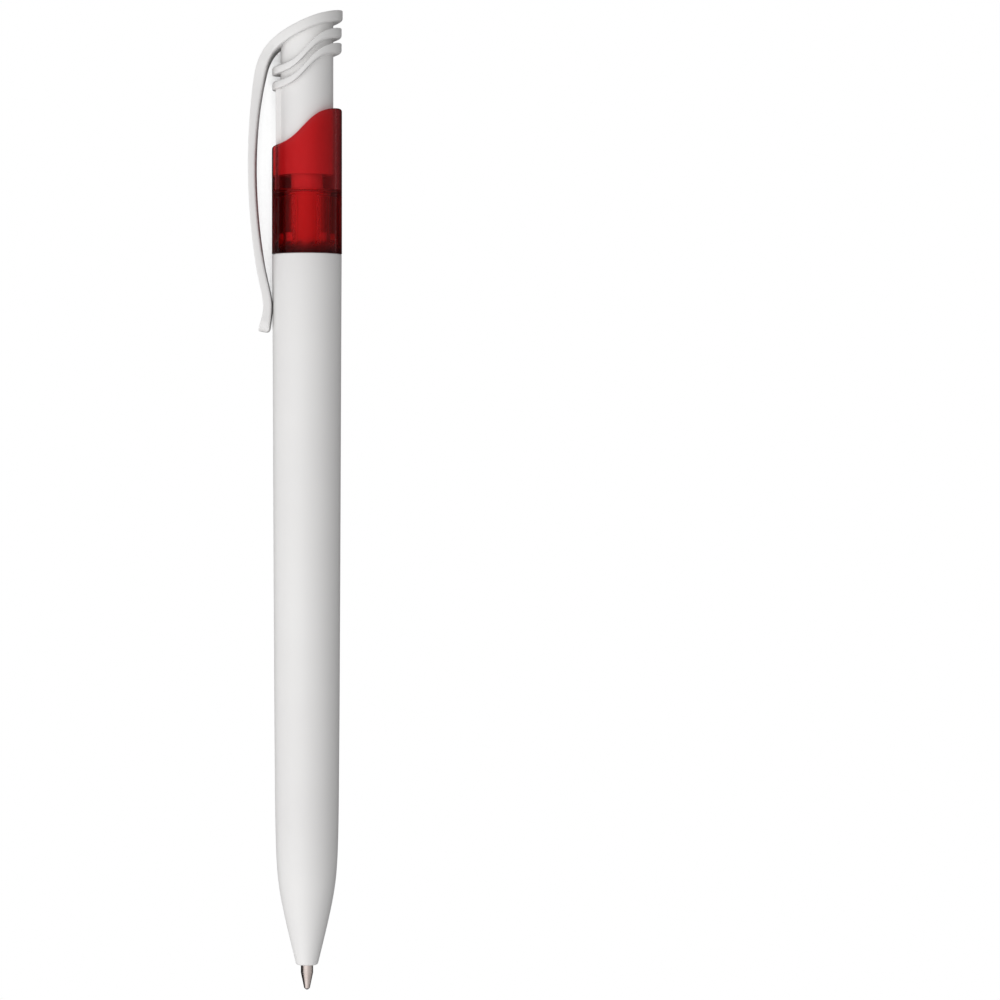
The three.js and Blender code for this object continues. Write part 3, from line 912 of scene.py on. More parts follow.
@dataclass
class Collar:
    """The see-through sleeve with its wavy rim, guide ribs, rail slot and snap spigot."""

    steps: int = 144
    radius: float = 5.0
    bore: float = 4.1
    foot: float = 105.15
    rim: float = 123.2
    wave_half: float = 2.84
    wave_reach: float = 2.7
    wave_centre: float = 0.3
    rim_corner: float = 0.4
    small_corner: float = 0.08
    shoulder: float = 114.0
    shoulder_corner: float = 0.45
    edge_loop: float = 0.18
    guide_top: float = 113.3
    guide_loop: float = 0.04
    guide_end: float = 106.0
    ramps_below: float = 109.0
    guide_radius: float = 3.3
    rib_radius: float = 2.45
    spigot_radius: float = 3.92
    spigot_end: float = 95.3
    bead: Corner = (99.2, 100.1)
    bead_height: float = 0.15
    tooth_rise: float = 1.1
    first_step: float = math.radians(10.5)
    groove_half: float = math.radians(13.5)
    slot_reach: float = 4.48
    slot_half: float = 1.0
    slot_margin: float = 0.2
    slot_spread: float = 1.06
    snap: float = math.radians(0.1)

    def snapped(self, angle: float) -> float:
        """Moves an angle to a wall of a groove or to a ramp's step, if it lies next to one.

        Args:
            angle: An angle of the turned mesh.

        Returns:
            The angle, moved to one side of the wall or step.
        """
        step = 2 * math.pi / self.steps
        base = QUARTER * math.floor(angle / QUARTER)
        middle, half = QUARTER / 2, self.groove_half
        for wall in (self.first_step, middle - half, middle + half):
            gap = angle - base - wall
            if abs(gap) < step - ROUNDING_ERROR and math.floor(gap / step) in (-1, 0):
                return base + wall + math.copysign(self.snap, gap)
        return angle

    def guided(self, station: float, radius: float, angle: float) -> Spot:
        """Cuts the guide grooves and the ramps between them.

        Args:
            station: A point's station.
            radius: How far it lies from the axis.
            angle: Its angle about the axis.

        Returns:
            Its new station, radius and angle.
        """
        angle = self.snapped(angle)
        from_groove = angle - QUARTER * math.floor(angle / QUARTER) - QUARTER / 2
        if abs(from_groove) < self.groove_half:
            radius = max(radius, self.guide_radius)
            if station < self.ramps_below:
                station = min(station, self.guide_end)
        elif station < self.ramps_below:
            station += sawtooth(angle, self.first_step, self.tooth_rise)
        return station, radius, angle

    def place(self, station: float, reach: float, across: float) -> Spot:
        """Shapes the guides and the rail's slot, and lifts the rim into its wave.

        Args:
            station: A point's station in the turned sleeve.
            reach: Its reach.
            across: Its cross position.

        Returns:
            Its new station, reach and cross position.
        """
        radius = math.hypot(reach, across)
        at_rim = station > self.rim - self.rim_corner - self.edge_loop - NEARLY
        in_guides = self.guide_end - NEARLY < station < self.guide_top + NEARLY
        if in_guides and radius < self.spigot_radius:
            angle = math.atan2(across, reach) % (2 * math.pi)
            station, radius, angle = self.guided(station, radius, angle)
            reach, across = radius * math.cos(angle), radius * math.sin(angle)
        on_bore = abs(radius - self.bore) < self.slot_margin and station > self.shoulder - NEARLY
        if on_bore and reach > 0 and abs(across) < self.slot_half:
            reach = self.slot_reach
            across = math.copysign(min(abs(across) * self.slot_spread, self.slot_half), across)
        if at_rim:
            rim = soft_step(reach, self.rim, self.wave_half, self.wave_reach, self.wave_centre)
            station += rim - self.rim
        return station, reach, across

    def mesh(self) -> Mesh:
        """Turns the sleeve and shapes its rim, bore and grooves.

        Returns:
            A closed bmesh in the pen's frame.
        """
        bead_start, bead_end = self.bead
        height, loop, corner = self.bead_height, self.edge_loop, self.shoulder_corner
        under_rim = self.rim - self.rim_corner - loop
        profile = walls(
            (self.guide_radius, self.spigot_end),
            (self.spigot_radius, self.spigot_end, bead_start),
            (self.spigot_radius + height, bead_start + height, bead_end - height),
            (self.spigot_radius, bead_end, self.foot),
            (self.radius, self.foot, self.foot + loop, under_rim, self.rim),
            (self.bore, self.rim, under_rim, self.shoulder + corner + loop, self.shoulder),
            (self.rib_radius, self.shoulder, self.guide_top, self.guide_top - self.guide_loop),
            (self.rib_radius, self.guide_end),
            (self.guide_radius, self.guide_end),
        )
        bm = spun(profile, self.steps)
        soften(bm, [(self.radius, self.rim)], self.rim_corner, segments=5)
        soften(bm, [(self.bore, self.rim), (self.radius, self.foot)], self.small_corner)
        for radius in (self.bore, self.rib_radius):
            soften(bm, [(radius, self.shoulder)], corner, segments=5)
        return moved(bm, self.place)

    def build(self, finishes: Finishes) -> None:
        """Makes the collar."""
        finished("collar_sleeve", "collar", self.mesh(), finishes.red, Slot.RED, Body.ROOT)


@dataclass
class PushButton:
    """The white moulding of head, clip, wavy fins, skirt and guide rail."""

    steps: int = 144
    line_steps: int = 540
    skirt_radius: float = 3.76
    skirt_bore: float = 2.94
    skirt_end: float = 116.4
    skirt_edge: float = 0.1
    top_rings: Corner = (2.6, 1.3)
    socket: float = 2.3
    socket_start: float = 126.0
    socket_end: float = 133.0
    head_radius: float = 5.1
    head_top: float = 140.0
    head_thickness: float = 1.42
    head_slope: float = 0.22
    head_curve: float = 0.0222
    head_marks: tuple[float, ...] = (-1.15, -0.43, 0.2, 0.7)
    round_back: float = math.radians(120)
    neck_reach: float = 6.23
    clip_half_width: float = 2.2
    clip_length: float = 46.0
    bow: float = 7.28
    bow_thickness: float = 1.05
    bend_thickness: float = 1.5
    corner_thickness: float = 1.45
    pad_reach: float = 5.03
    pad_thickness: float = 1.18
    lip_thickness: float = 1.6
    lip_flare: float = 0.32
    end_corner: float = 1.5
    top_edge: float = 0.16
    under_edge: float = 0.32
    edge_steps: int = 5
    lip_corner: float = 0.6
    fin_root: float = 0.4
    fin_ring: float = 4.2
    fin_radius: float = 4.95
    fin_middles: Corner = (131.85, 134.0)
    fin_half: float = 2.84
    fin_reach: float = 2.65
    fin_centre: float = -0.24
    fin_back_thickness: float = 1.5
    fin_clip_thickness: float = 1.26
    fin_middle_share: float = 0.8
    fin_corner: float = 0.5
    fin_sharp_share: float = 0.3
    fin_slack: float = 1e-4
    rail_top: float = 129.1
    rail_root: float = 3.2
    rail_reach: float = 4.43
    rail_width: float = 1.6
    rail_edge: float = 0.12

    def middle_line(self) -> list[Vector]:
        """The middle of the strip of head and clip: station, reach and thickness.

        Returns:
            Its points, from the back of the head to the clip's lip.
        """
        marks = []
        middle = self.head_top - self.head_thickness / 2 * math.hypot(1, self.head_slope)
        for share in self.head_marks:
            reach = share * self.head_radius
            forward = reach + self.head_radius
            fall = self.head_slope * forward + self.head_curve * forward**2
            marks.append(Vector((middle - fall, reach, self.head_thickness)))
        bow = self.bow + self.bow_thickness / 2
        pad = self.pad_reach + self.pad_thickness / 2
        arch = (self.bend_thickness + 2 * self.bow_thickness) / 3
        falling = (self.bow_thickness + self.pad_thickness) / 2
        lip = self.pad_reach + self.lip_flare + self.lip_thickness / 2
        for share, reach, thickness in (
            (0.124, bow - 2.66, self.corner_thickness),
            (0.16, bow - 1.7, self.bend_thickness),
            (0.2, bow - 1.18, self.bend_thickness),
            (0.32, bow - 0.38, arch),
            (0.478, bow, self.bow_thickness),
            (0.64, bow - 0.3, self.bow_thickness),
            (0.79, bow - 1.14, falling),
            (0.905, pad, self.pad_thickness),
            (0.94, pad, self.pad_thickness),
            (1.0, lip, self.lip_thickness),
        ):
            marks.append(Vector((self.head_top - share * self.clip_length, reach, thickness)))
        return smooth_line(marks, self.line_steps)

    def fin(self, middle: float) -> Mesh:
        """Turns one fin and bends it into its wave.

        Args:
            middle: The station of the wave's middle.

        Returns:
            The fin's closed ring.
        """
        root, full = self.skirt_radius - self.fin_root, self.fin_radius
        half = self.fin_back_thickness / 2
        rings = ((root, -half), (self.fin_ring, -half), (full, -half, half))
        profile = walls(*rings, (self.fin_ring, half), (root, half))
        bm = spun(profile, self.steps)
        soften(bm, profile[2:4], self.fin_corner, segments=6)

        def place(offset: float, reach: float, across: float) -> Spot:
            """Sharpens one of the fin's corners, thins the fin and lifts it into its wave.

            Args:
                offset: How far a point lies from the fin's middle.
                reach: Its reach.
                across: Its cross position.

            Returns:
                Its new station, reach and cross position.
            """
            radius = math.hypot(reach, across)
            towards_clip = (reach / radius + 1) / 2
            roundness = towards_clip if offset > 0 else 1 - towards_clip
            share = self.fin_sharp_share + (1 - self.fin_sharp_share) * roundness
            inward, drop = full - radius, half - abs(offset)
            if inward < self.fin_corner + self.fin_slack:
                drawn = (full - inward * share) / radius
                reach, across = reach * drawn, across * drawn
                if drop < self.fin_corner + self.fin_slack:
                    offset = math.copysign(half - drop * share, offset)
            middle_share = self.fin_middle_share
            thin = middle_share + (1 - middle_share) * min(1.0, (reach / full) ** 2)
            slim = self.fin_clip_thickness / self.fin_back_thickness
            thickness = thin * (1 + (slim - 1) * towards_clip)
            height = soft_step(reach, middle, self.fin_half, self.fin_reach, self.fin_centre)
            return height + offset * thickness, reach, across

        return moved(bm, place)

    def skirt(self) -> Mesh:
        """Turns the skirt, closed inside the head and bored out for the thrust tube.

        Returns:
            A closed bmesh in the pen's frame.
        """
        line, top = self.middle_line(), self.head_top
        profile = walls(
            (self.skirt_bore, self.skirt_end),
            (self.skirt_radius, self.skirt_end, top),
            *((radius, top) for radius in self.top_rings),
            (0.0, top, self.socket_end),
            (self.socket, self.socket_end, self.socket_start),
            (self.skirt_bore, self.socket_start),
        )
        bm = spun(profile, self.steps)
        soften(bm, profile[:2], self.skirt_edge)

        def place(station: float, reach: float, across: float) -> Spot:
            """Lowers the skirt's top to the middle of the head.

            Args:
                station: A point's station in the turned skirt.
                reach: Its reach.
                across: Its cross position.

            Returns:
                Its new station, reach and cross position.
            """
            if station < top - NEARLY:
                return station, reach, across
            after = next(i for i, spot in enumerate(line) if spot.y >= reach)
            low, high = line[after - 1], line[after]
            share = (reach - low.y) / (high.y - low.y)
            return low.x + (high.x - low.x) * share, reach, across

        return moved(bm, place)

    def build(self, finishes: Finishes) -> None:
        """Makes the button, whose rail keeps it from turning in the collar.

        Args:
            finishes: All the pen's finishes.
        """
        low, high = (self.skirt_end, self.rail_root), (self.rail_top, self.rail_reach)
        rail = block(low, high, self.rail_width, self.rail_edge)
        parts = [Strip(self).mesh(), self.skirt(), rail, *map(self.fin, self.fin_middles)]
        name, mesh = "push_button_moulding", united(parts)
        finished(name, "push_button", mesh, finishes.white, Slot.WHITE, Body.BUTTON)


@dataclass
class Strip:
    """The loft of the button's head and clip."""

    button: PushButton
    back_rows: int = 44
    neck_rows: int = 14
    clip_rows: int = 96
    end_crowding: float = 0.9

    def __post_init__(self) -> None:
        """Draws both faces from the side, and finds where they leave the back and the neck."""
        line = self.button.middle_line()
        self.outer, self.inner = [], []
        for i, spot in enumerate(line):
            before, after = line[max(i - 1, 0)], line[min(i + 1, len(line) - 1)]
            along = Vector((after.x - before.x, after.y - before.y)).normalized()
            offset = Vector((along.y, -along.x)) * spot.z / 2
            middle = Vector((spot.x, spot.y))
            self.outer.append(middle + offset)
            self.inner.append(middle - offset)
        turn = self.button.round_back
        self.back_reach = -self.button.head_radius * math.cos(turn)
        self.back_half = self.button.head_radius * math.sin(turn)
        self.leaves = [self.index_at(face, self.back_reach) for face in (self.outer, self.inner)]
        self.neck = self.index_at(self.outer, self.button.neck_reach)

    @staticmethod
    def index_at(face: list[Vector], reach: float) -> float:
        """The place on a face, counted in points, at which it first passes a reach.

        Args:
            face: The face's points.
            reach: The reach.

        Returns:
            The place.
        """
        after = next(i for i, spot in enumerate(face) if spot.y >= reach)
        low, high = face[after - 1], face[after]
        return after - 1 + (reach - low.y) / (high.y - low.y)

    @staticmethod
    def spot_at(face: list[Vector], index: float) -> Vector:
        """The point at a place on a face."""
        low = min(int(index), len(face) - 2)
        return face[low].lerp(face[low + 1], index - low)

    @staticmethod
    def fallen(distance: float, radius: float) -> float:
        """How far a rounding of a radius has fallen at a distance from its edge.

        Args:
            distance: How far from its edge a point lies.
            radius: Its radius.

        Returns:
            How far the rounding has fallen.
        """
        if distance >= radius:
            return 0.0
        return radius - math.sqrt(max(0.0, radius**2 - (radius - max(distance, 0.0)) ** 2))

    def half_width(self, spot: Vector) -> float:
        """Half the width of the head and clip at a point of their side view.

        Args:
            spot: A point of a face.

        Returns:
            Half the width there.
        """
        button = self.button
        if spot.x < button.socket_start:
            return button.clip_half_width
        share = (spot.y - self.back_reach) / (button.neck_reach - self.back_reach)
        drop = (self.back_half - button.clip_half_width) * min(max(share, 0.0), 1.0)
        return self.back_half - drop

    def rounding(self, edge: float) -> list[Corner]:
        """How far in from the edge, and how far down, the points of its rounding lie.

        Args:
            edge: How far the rounding reaches.

        Returns:
            Each point's inset and drop.
        """
        steps = self.button.edge_steps
        turns = [QUARTER * i / steps for i in range(steps + 1)]
        return [(edge * (1 - math.sin(turn)), edge * (1 - math.cos(turn))) for turn in turns]

    def ring(self, point: Callable[[bool, float, float, float], Vector]) -> list[Vector]:
        """One closed section, from the outer face's middle round the near edge and back.

        Args:
            point: Gives a point by face, share of the half width, inset and drop.

        Returns:
            The section's points.
        """
        top, under = self.button.top_edge, self.button.under_edge
        near = [(True, 0.0, top, 0.0), (True, 0.5, top, 0.0)]
        near += [(True, 1.0, inset, drop) for inset, drop in self.rounding(top)]
        near += [(False, 1.0, inset, drop) for inset, drop in reversed(self.rounding(under))]
        near += [(False, 0.5, under, 0.0), (False, 0.0, under, 0.0)]
        spots = [point(*entry) for entry in near]
        far = [Vector((spot.x, spot.y, -spot.z)) for spot in reversed(spots[1:-1])]
        return spots + far

    def back_section(self, turn: float) -> list[Vector]:
        """The section through the round back at an angle from its rearmost point.

        Args:
            turn: The angle.

        Returns:
            The section's points.
        """

        def point(is_outer: bool, share: float, inset: float, drop: float) -> Vector:
            """A point on the round back.

            Args:
                is_outer: Whether it lies on the outer face.
                share: Its share of the half width.
                inset: How far in from the edge it lies.
                drop: How far down it lies.

            Returns:
                The point.
            """
            radius = self.button.head_radius - inset
            reach = -radius * math.cos(turn)
            face = self.outer if is_outer else self.inner
            station = self.spot_at(face, self.index_at(face, reach)).x
            station += -drop if is_outer else drop
            return Vector((station, reach, share * radius * math.sin(turn)))

        return self.ring(point)

    def clip_section(self, outer_index: float, inner_index: float) -> list[Vector]:
        """The section between a place on the outer face and one on the inner face.

        Args:
            outer_index: The place on the outer face, counted in points.
            inner_index: The place on the inner face.

        Returns:
            The section's points.
        """
        top = self.spot_at(self.outer, outer_index)
        bottom = self.spot_at(self.inner, inner_index)
        down = (bottom - top).normalized()
        button = self.button
        to_end = (top.x + bottom.x) / 2 - (button.head_top - button.clip_length)

        def point(is_outer: bool, share: float, inset: float, drop: float) -> Vector:
            """A point on the neck or the clip.

            Args:
                is_outer: Whether it lies on the outer face.
                share: Its share of the half width.
                inset: How far in from the edge it lies.
                drop: How far down it lies.

            Returns:
                The point.
            """
            spot = top if is_outer else bottom
            half = self.half_width(spot) - self.fallen(to_end, button.end_corner)
            across = share * max(half - inset, 0.0)
            edge = button.top_edge if is_outer else button.under_edge
            end_edge = button.top_edge if is_outer else button.lip_corner
            depth = max(drop, self.fallen(half - across, edge), self.fallen(to_end, end_edge))
            inward = down * (depth if is_outer else -depth)
            return Vector((spot.x + inward.x, spot.y + inward.y, across))

        return self.ring(point)

    def mesh(self) -> Mesh:
        """Lofts the strip with rounded edges, from the round back to the clip's lip.

        Returns:
            A closed bmesh in the pen's frame.
        """
        turn = self.button.round_back
        sections = [
            self.back_section(turn * i / self.back_rows) for i in range(self.back_rows + 1)
        ]
        for i in range(1, self.neck_rows + 1):
            share = i / self.neck_rows
            indices = [leave + (self.neck - leave) * share for leave in self.leaves]
            sections.append(self.clip_section(*indices))
        last = len(self.outer) - 1
        for i in range(1, self.clip_rows + 1):
            share = math.sin(QUARTER * i / self.clip_rows) ** self.end_crowding
            index = self.neck + (last - self.neck) * share
            sections.append(self.clip_section(index, index))
        return lofted(sections)


@dataclass
class Mechanism:
    """The thrust tube that is pressed into the button, and the index rotor that it drives."""

    steps: int = 144
    lug_steps: int = 8
    thrust_radius: float = 2.25
    thrust_bore: float = 1.35
    thrust_start: float = 106.0
    thrust_end: float = 132.95
    stop_reach: float = 3.1
    stops: Corner = (106.9, 108.1)
    lug_root: float = 1.8
    lug_half: float = math.radians(10)
    tooth_rise: float = 1.1
    thrust_step: float = math.radians(30.5)
    rotor_step: float = math.radians(10.5)
    crown: float = 104.78
    rotor_end: float = 95.5
    lug_length: float = 2.4
    pin_radius: float = 1.25
    pin_end: float = 112.38
    pin_corner: float = 0.15
    pin_hole: float = 1.15
    pin_hole_depth: float = 0.5
    pin_depth: float = 1.5
    cup: float = 1.6
    cup_end: float = 98.05
    tuck: float = 0.25

    def sloped(self, bm: Mesh, end: float, step: float) -> Mesh:
        """Cuts sloping teeth into one end of a mesh.

        Args:
            bm: The mesh.
            end: The station of the end that has the teeth.
            step: The angle of the first tooth's step.

        Returns:
            The same mesh.
        """

        def place(station: float, reach: float, across: float) -> Spot:
            """Lifts a point, if it lies on the toothed end.

            Args:
                station: The point's station.
                reach: Its reach.
                across: Its cross position.

            Returns:
                Its new station, reach and cross position.
            """
            if abs(station - end) < NEARLY:
                station += sawtooth(math.atan2(across, reach), step, self.tooth_rise)
            return station, reach, across

        return moved(bm, place)

    def lugs(self, stations: Corner, toothed: bool = False) -> list[Mesh]:
        """Four lugs a quarter turn apart, each spun from its own section.

        Args:
            stations: Where they start and end.
            toothed: Whether their tops carry on the rotor's teeth.

        Returns:
            The lugs' closed blocks.
        """
        low, high = stations
        inner, outer = self.lug_root, self.stop_reach
        blocks = []
        for i in range(4):
            bm = bmesh.new()
            corners = walls((inner, low), (outer, low, high), (inner, high))
            face = bm.faces.new([bm.verts.new((station, radius, 0)) for radius, station in corners])
            start = Matrix.Rotation(QUARTER / 2 + QUARTER * i - self.lug_half, 4, "X")
            bmesh.ops.rotate(bm, cent=(0, 0, 0), matrix=start, verts=bm.verts)
            turn = 2 * self.lug_half
            bmesh.ops.spin(bm, geom=[face], **AXIS, angle=turn, steps=self.lug_steps)
            blocks.append(sealed(bm))
            if toothed:
                tops = (spot for spot in bm.verts if spot.co.x > high - NEARLY)
                tucked = [
                    spot for spot in tops if math.hypot(spot.co.y, spot.co.z) < inner + NEARLY
                ]
                self.sloped(bm, high, self.rotor_step)
                bmesh.ops.translate(bm, vec=(-self.tuck, 0, 0), verts=tucked)
        return blocks

    def thrust_tube(self) -> Mesh:
        """The toothed tube with its four stops.

        Returns:
            A closed bmesh in the pen's frame.
        """
        start, end = self.thrust_start, self.thrust_end
        profile = walls(
            (self.thrust_bore, start), (self.thrust_radius, start, end), (self.thrust_bore, end)
        )
        tube = self.sloped(spun(profile, self.steps), start, self.thrust_step)
        return united([tube, *self.lugs(self.stops)])

    def rotor(self) -> Mesh:
        """The rotor with its crown, lugs, pin and cup.

        Returns:
            A closed bmesh in the pen's frame.
        """
        hole_floor, pin_start = self.crown - self.pin_hole_depth, self.crown - self.pin_depth
        profile = walls(
            (0.0, self.cup_end),
            (self.cup, self.cup_end, self.rotor_end),
            (self.thrust_radius, self.rotor_end, self.crown),
            (self.pin_hole, self.crown, hole_floor),
            (0.0, hole_floor),
        )
        crown = self.sloped(spun(profile, self.steps), self.crown, self.rotor_step)
        pin_profile = walls((0.0, pin_start), (self.pin_radius, pin_start, self.pin_end))
        pin = spun([*pin_profile, (0.0, self.pin_end)], self.steps)
        soften(pin, pin_profile[-1:], self.pin_corner)
        lugs = self.lugs((self.crown - self.lug_length, self.crown), toothed=True)
        return united([crown, pin, *lugs])

    def build(self, finishes: Finishes) -> None:
        """Makes the thrust tube and the rotor.

        Args:
            finishes: All the pen's finishes.
        """
        for name, node, bm, body in (
            ("thrust_tube_moulding", "thrust_tube", self.thrust_tube(), Body.BUTTON),
            ("index_rotor_moulding", "index_rotor", self.rotor(), Body.ROTOR),
        ):
            finished(name, node, bm, finishes.inner_white, Slot.WHITE, body)


@dataclass
class Refill:
    """The refill: its tube with two pressed wings, the ink, the holder, the point and the ball."""

    steps: int = 96
    edge: float = 0.06
    tube_radius: float = 1.5
    tube_bore: float = 1.0
    tube_start: float = 13.65
    tube_end: float = 98.0
    wings: Corner = (24.1, 27.1)
    wing_root: float = 1.25
    wing_reach: float = 2.15
    wing_width: float = 0.9
    wing_edge: float = 0.2
    ink_radius: float = 0.95
    ink: Corner = (18.25, 86.0)
    ink_dip: float = 0.35
    dip_rings: tuple[float, ...] = (0.75, 0.5, 0.25, 0.0)
    shank: float = 0.83
    shank_end: float = 16.55
    holder_start: float = 12.45
    holder_flange: float = 13.6
    holder_end: float = 18.2
    holder_lead: float = 0.25
    channel: float = 0.3
    cone: tuple[Corner, ...] = ((0.348, 0.22), (0.403, 0.22))
    neck: Spot = (0.88, 2.47, 8.8)
    collar: Spot = (1.15, 9.07, 12.4)
    tail: Spot = (0.78, 12.4, 16.4)
    tail_end: Corner = (0.68, 16.5)
    feed: Spot = (0.18, 2.47, 0.84)
    ball_seat: Spot = (0.37, 0.47, 0.3)
    ball_radius: float = 0.35
    ball_segments: int = 48

    def tube(self) -> Mesh:
        """The drawn tube, with its two pressed wings.

        Returns:
            A closed bmesh in the pen's frame.
        """
        start, end = self.tube_start, self.tube_end
        profile = walls((self.tube_radius, start, end), (self.tube_bore, end, start))
        tube = spun(profile, self.steps)
        soften(tube, profile, self.edge)
        low, high = self.wings
        root, reach = self.wing_root, self.wing_reach
        wings = [
            block((low, bottom), (high, top), self.wing_width, self.wing_edge)
            for bottom, top in ((root, reach), (-reach, -root))
        ]
        return united([tube, *wings])

    def ink_column(self) -> Mesh:
        """The ink, whose upper end sags between the tube's walls.

        Returns:
            A closed bmesh in the pen's frame.
        """
        low, high = self.ink
        radius, depth = self.ink_radius, self.ink_dip
        dip = [(radius * share, high - depth * (1 - share**2)) for share in self.dip_rings]
        return spun([(0, low), (radius, low), (radius, high), *dip], self.steps)

    def holder(self) -> Mesh:
        """The plug that carries the point in the tube.

        Returns:
            A closed bmesh in the pen's frame.
        """
        start, flange, end = self.holder_start, self.holder_flange, self.holder_end
        lead = self.holder_lead
        profile = walls(
            (self.shank, start),
            (self.tube_radius - lead, start),
            (self.tube_radius, start + lead, flange),
            (self.ink_radius, flange, end - lead),
            (self.ink_radius - lead / 4, end),
            (self.channel, end, self.shank_end),
            (self.shank, self.shank_end),
        )
        bm = spun(profile, self.steps)
        soften(bm, profile[1:4], self.edge)
        return bm

    def point(self) -> Mesh:
        """Turns the metal point with its ball socket, shoulder and shank.

        Returns:
            A closed bmesh in the pen's frame.
        """
        channel = (self.channel, self.tail_end[1], self.neck[1])
        outside = walls(*self.cone, self.neck, self.collar, self.tail, self.tail_end)
        bm = spun([*outside, *walls(channel, self.feed, self.ball_seat)], self.steps)
        soften(bm, outside[2:5], self.edge)
        return bm

    def ball(self) -> Mesh:
        """The writing ball, with its poles in the pen's axis.

        Returns:
            A closed bmesh in the pen's frame.
        """
        bm, rows = bmesh.new(), self.ball_segments
        bmesh.ops.create_uvsphere(
            bm, u_segments=rows, v_segments=rows // 2, radius=self.ball_radius
        )
        turn = Matrix.Rotation(QUARTER, 4, "Y")
        bmesh.ops.rotate(bm, cent=(0, 0, 0), matrix=turn, verts=bm.verts)
        bmesh.ops.translate(bm, vec=(self.ball_radius, 0, 0), verts=bm.verts)
        return bm

    def build(self, finishes: Finishes) -> None:
        """Makes the refill's pieces.

        Args:
            finishes: All the pen's finishes.
        """
        look, body = finishes, Body.REFILL
        for piece in (
            ("drawn_tube", "refill_tube", self.tube(), look.tube, Slot.TUBE, body),
            ("ink_fill", "ink_column", self.ink_column(), look.ink, Slot.INK, body),
            ("point_plug", "point_holder", self.holder(), look.natural, Slot.NATURAL, body),
            ("turned_point", "refill_point", self.point(), look.nickel, Slot.NICKEL, body),
            ("ball", "writing_ball", self.ball(), look.carbide, Slot.CARBIDE, Body.BALL),
        ):
            finished(*piece)


@dataclass
class ReturnSpring:
    """The wound spring between the barrel's seat and the refill's wings."""

    wire: float = 0.4
    radius: float = 1.85
    start: float = 10.65
    length: float = 13.4
    turns: int = 10
    end_pitch: float = 0.86
    sides: int = 12
    turn_steps: int = 48

    def mesh(self) -> Mesh:
        """Winds the wire, with closer turns at both ends.

        Returns:
            A closed bmesh in the pen's frame.
        """
        bm, half = bmesh.new(), self.wire / 2
        circle = bmesh.ops.create_circle(bm, cap_ends=False, segments=self.sides, radius=half)
        section = circle["verts"]
        bmesh.ops.translate(bm, vec=(self.start + half, self.radius, 0), verts=section)
        pitch = (self.length - self.wire - 2 * self.end_pitch) / (self.turns - 2)
        geometry = [*section, *bm.edges]
        for turns, climb in ((1, self.end_pitch), (self.turns - 2, pitch), (1, self.end_pitch)):
            step = (climb / self.turn_steps, 0, 0)
            steps, angle = turns * self.turn_steps, 2 * math.pi * turns
            grown = bmesh.ops.spin(bm, geom=geometry, **AXIS, dvec=step, angle=angle, steps=steps)
            geometry = grown["geom_last"]
        return sealed(bm, capped=True)

    def build(self, finishes: Finishes) -> None:
        """Makes the spring, which reaches from its seat to the refill.

        Args:
            finishes: All the pen's finishes.
        """
        name, node = "wound_spring", "return_spring"
        spring = finished(name, node, self.mesh(), finishes.spring, Slot.SPRING, None)
        seat, wings = PEN.point(self.start), PEN.point(self.start + self.length)
        tuple(seat)
        tuple(wings)
        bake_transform(spring)


# Studio


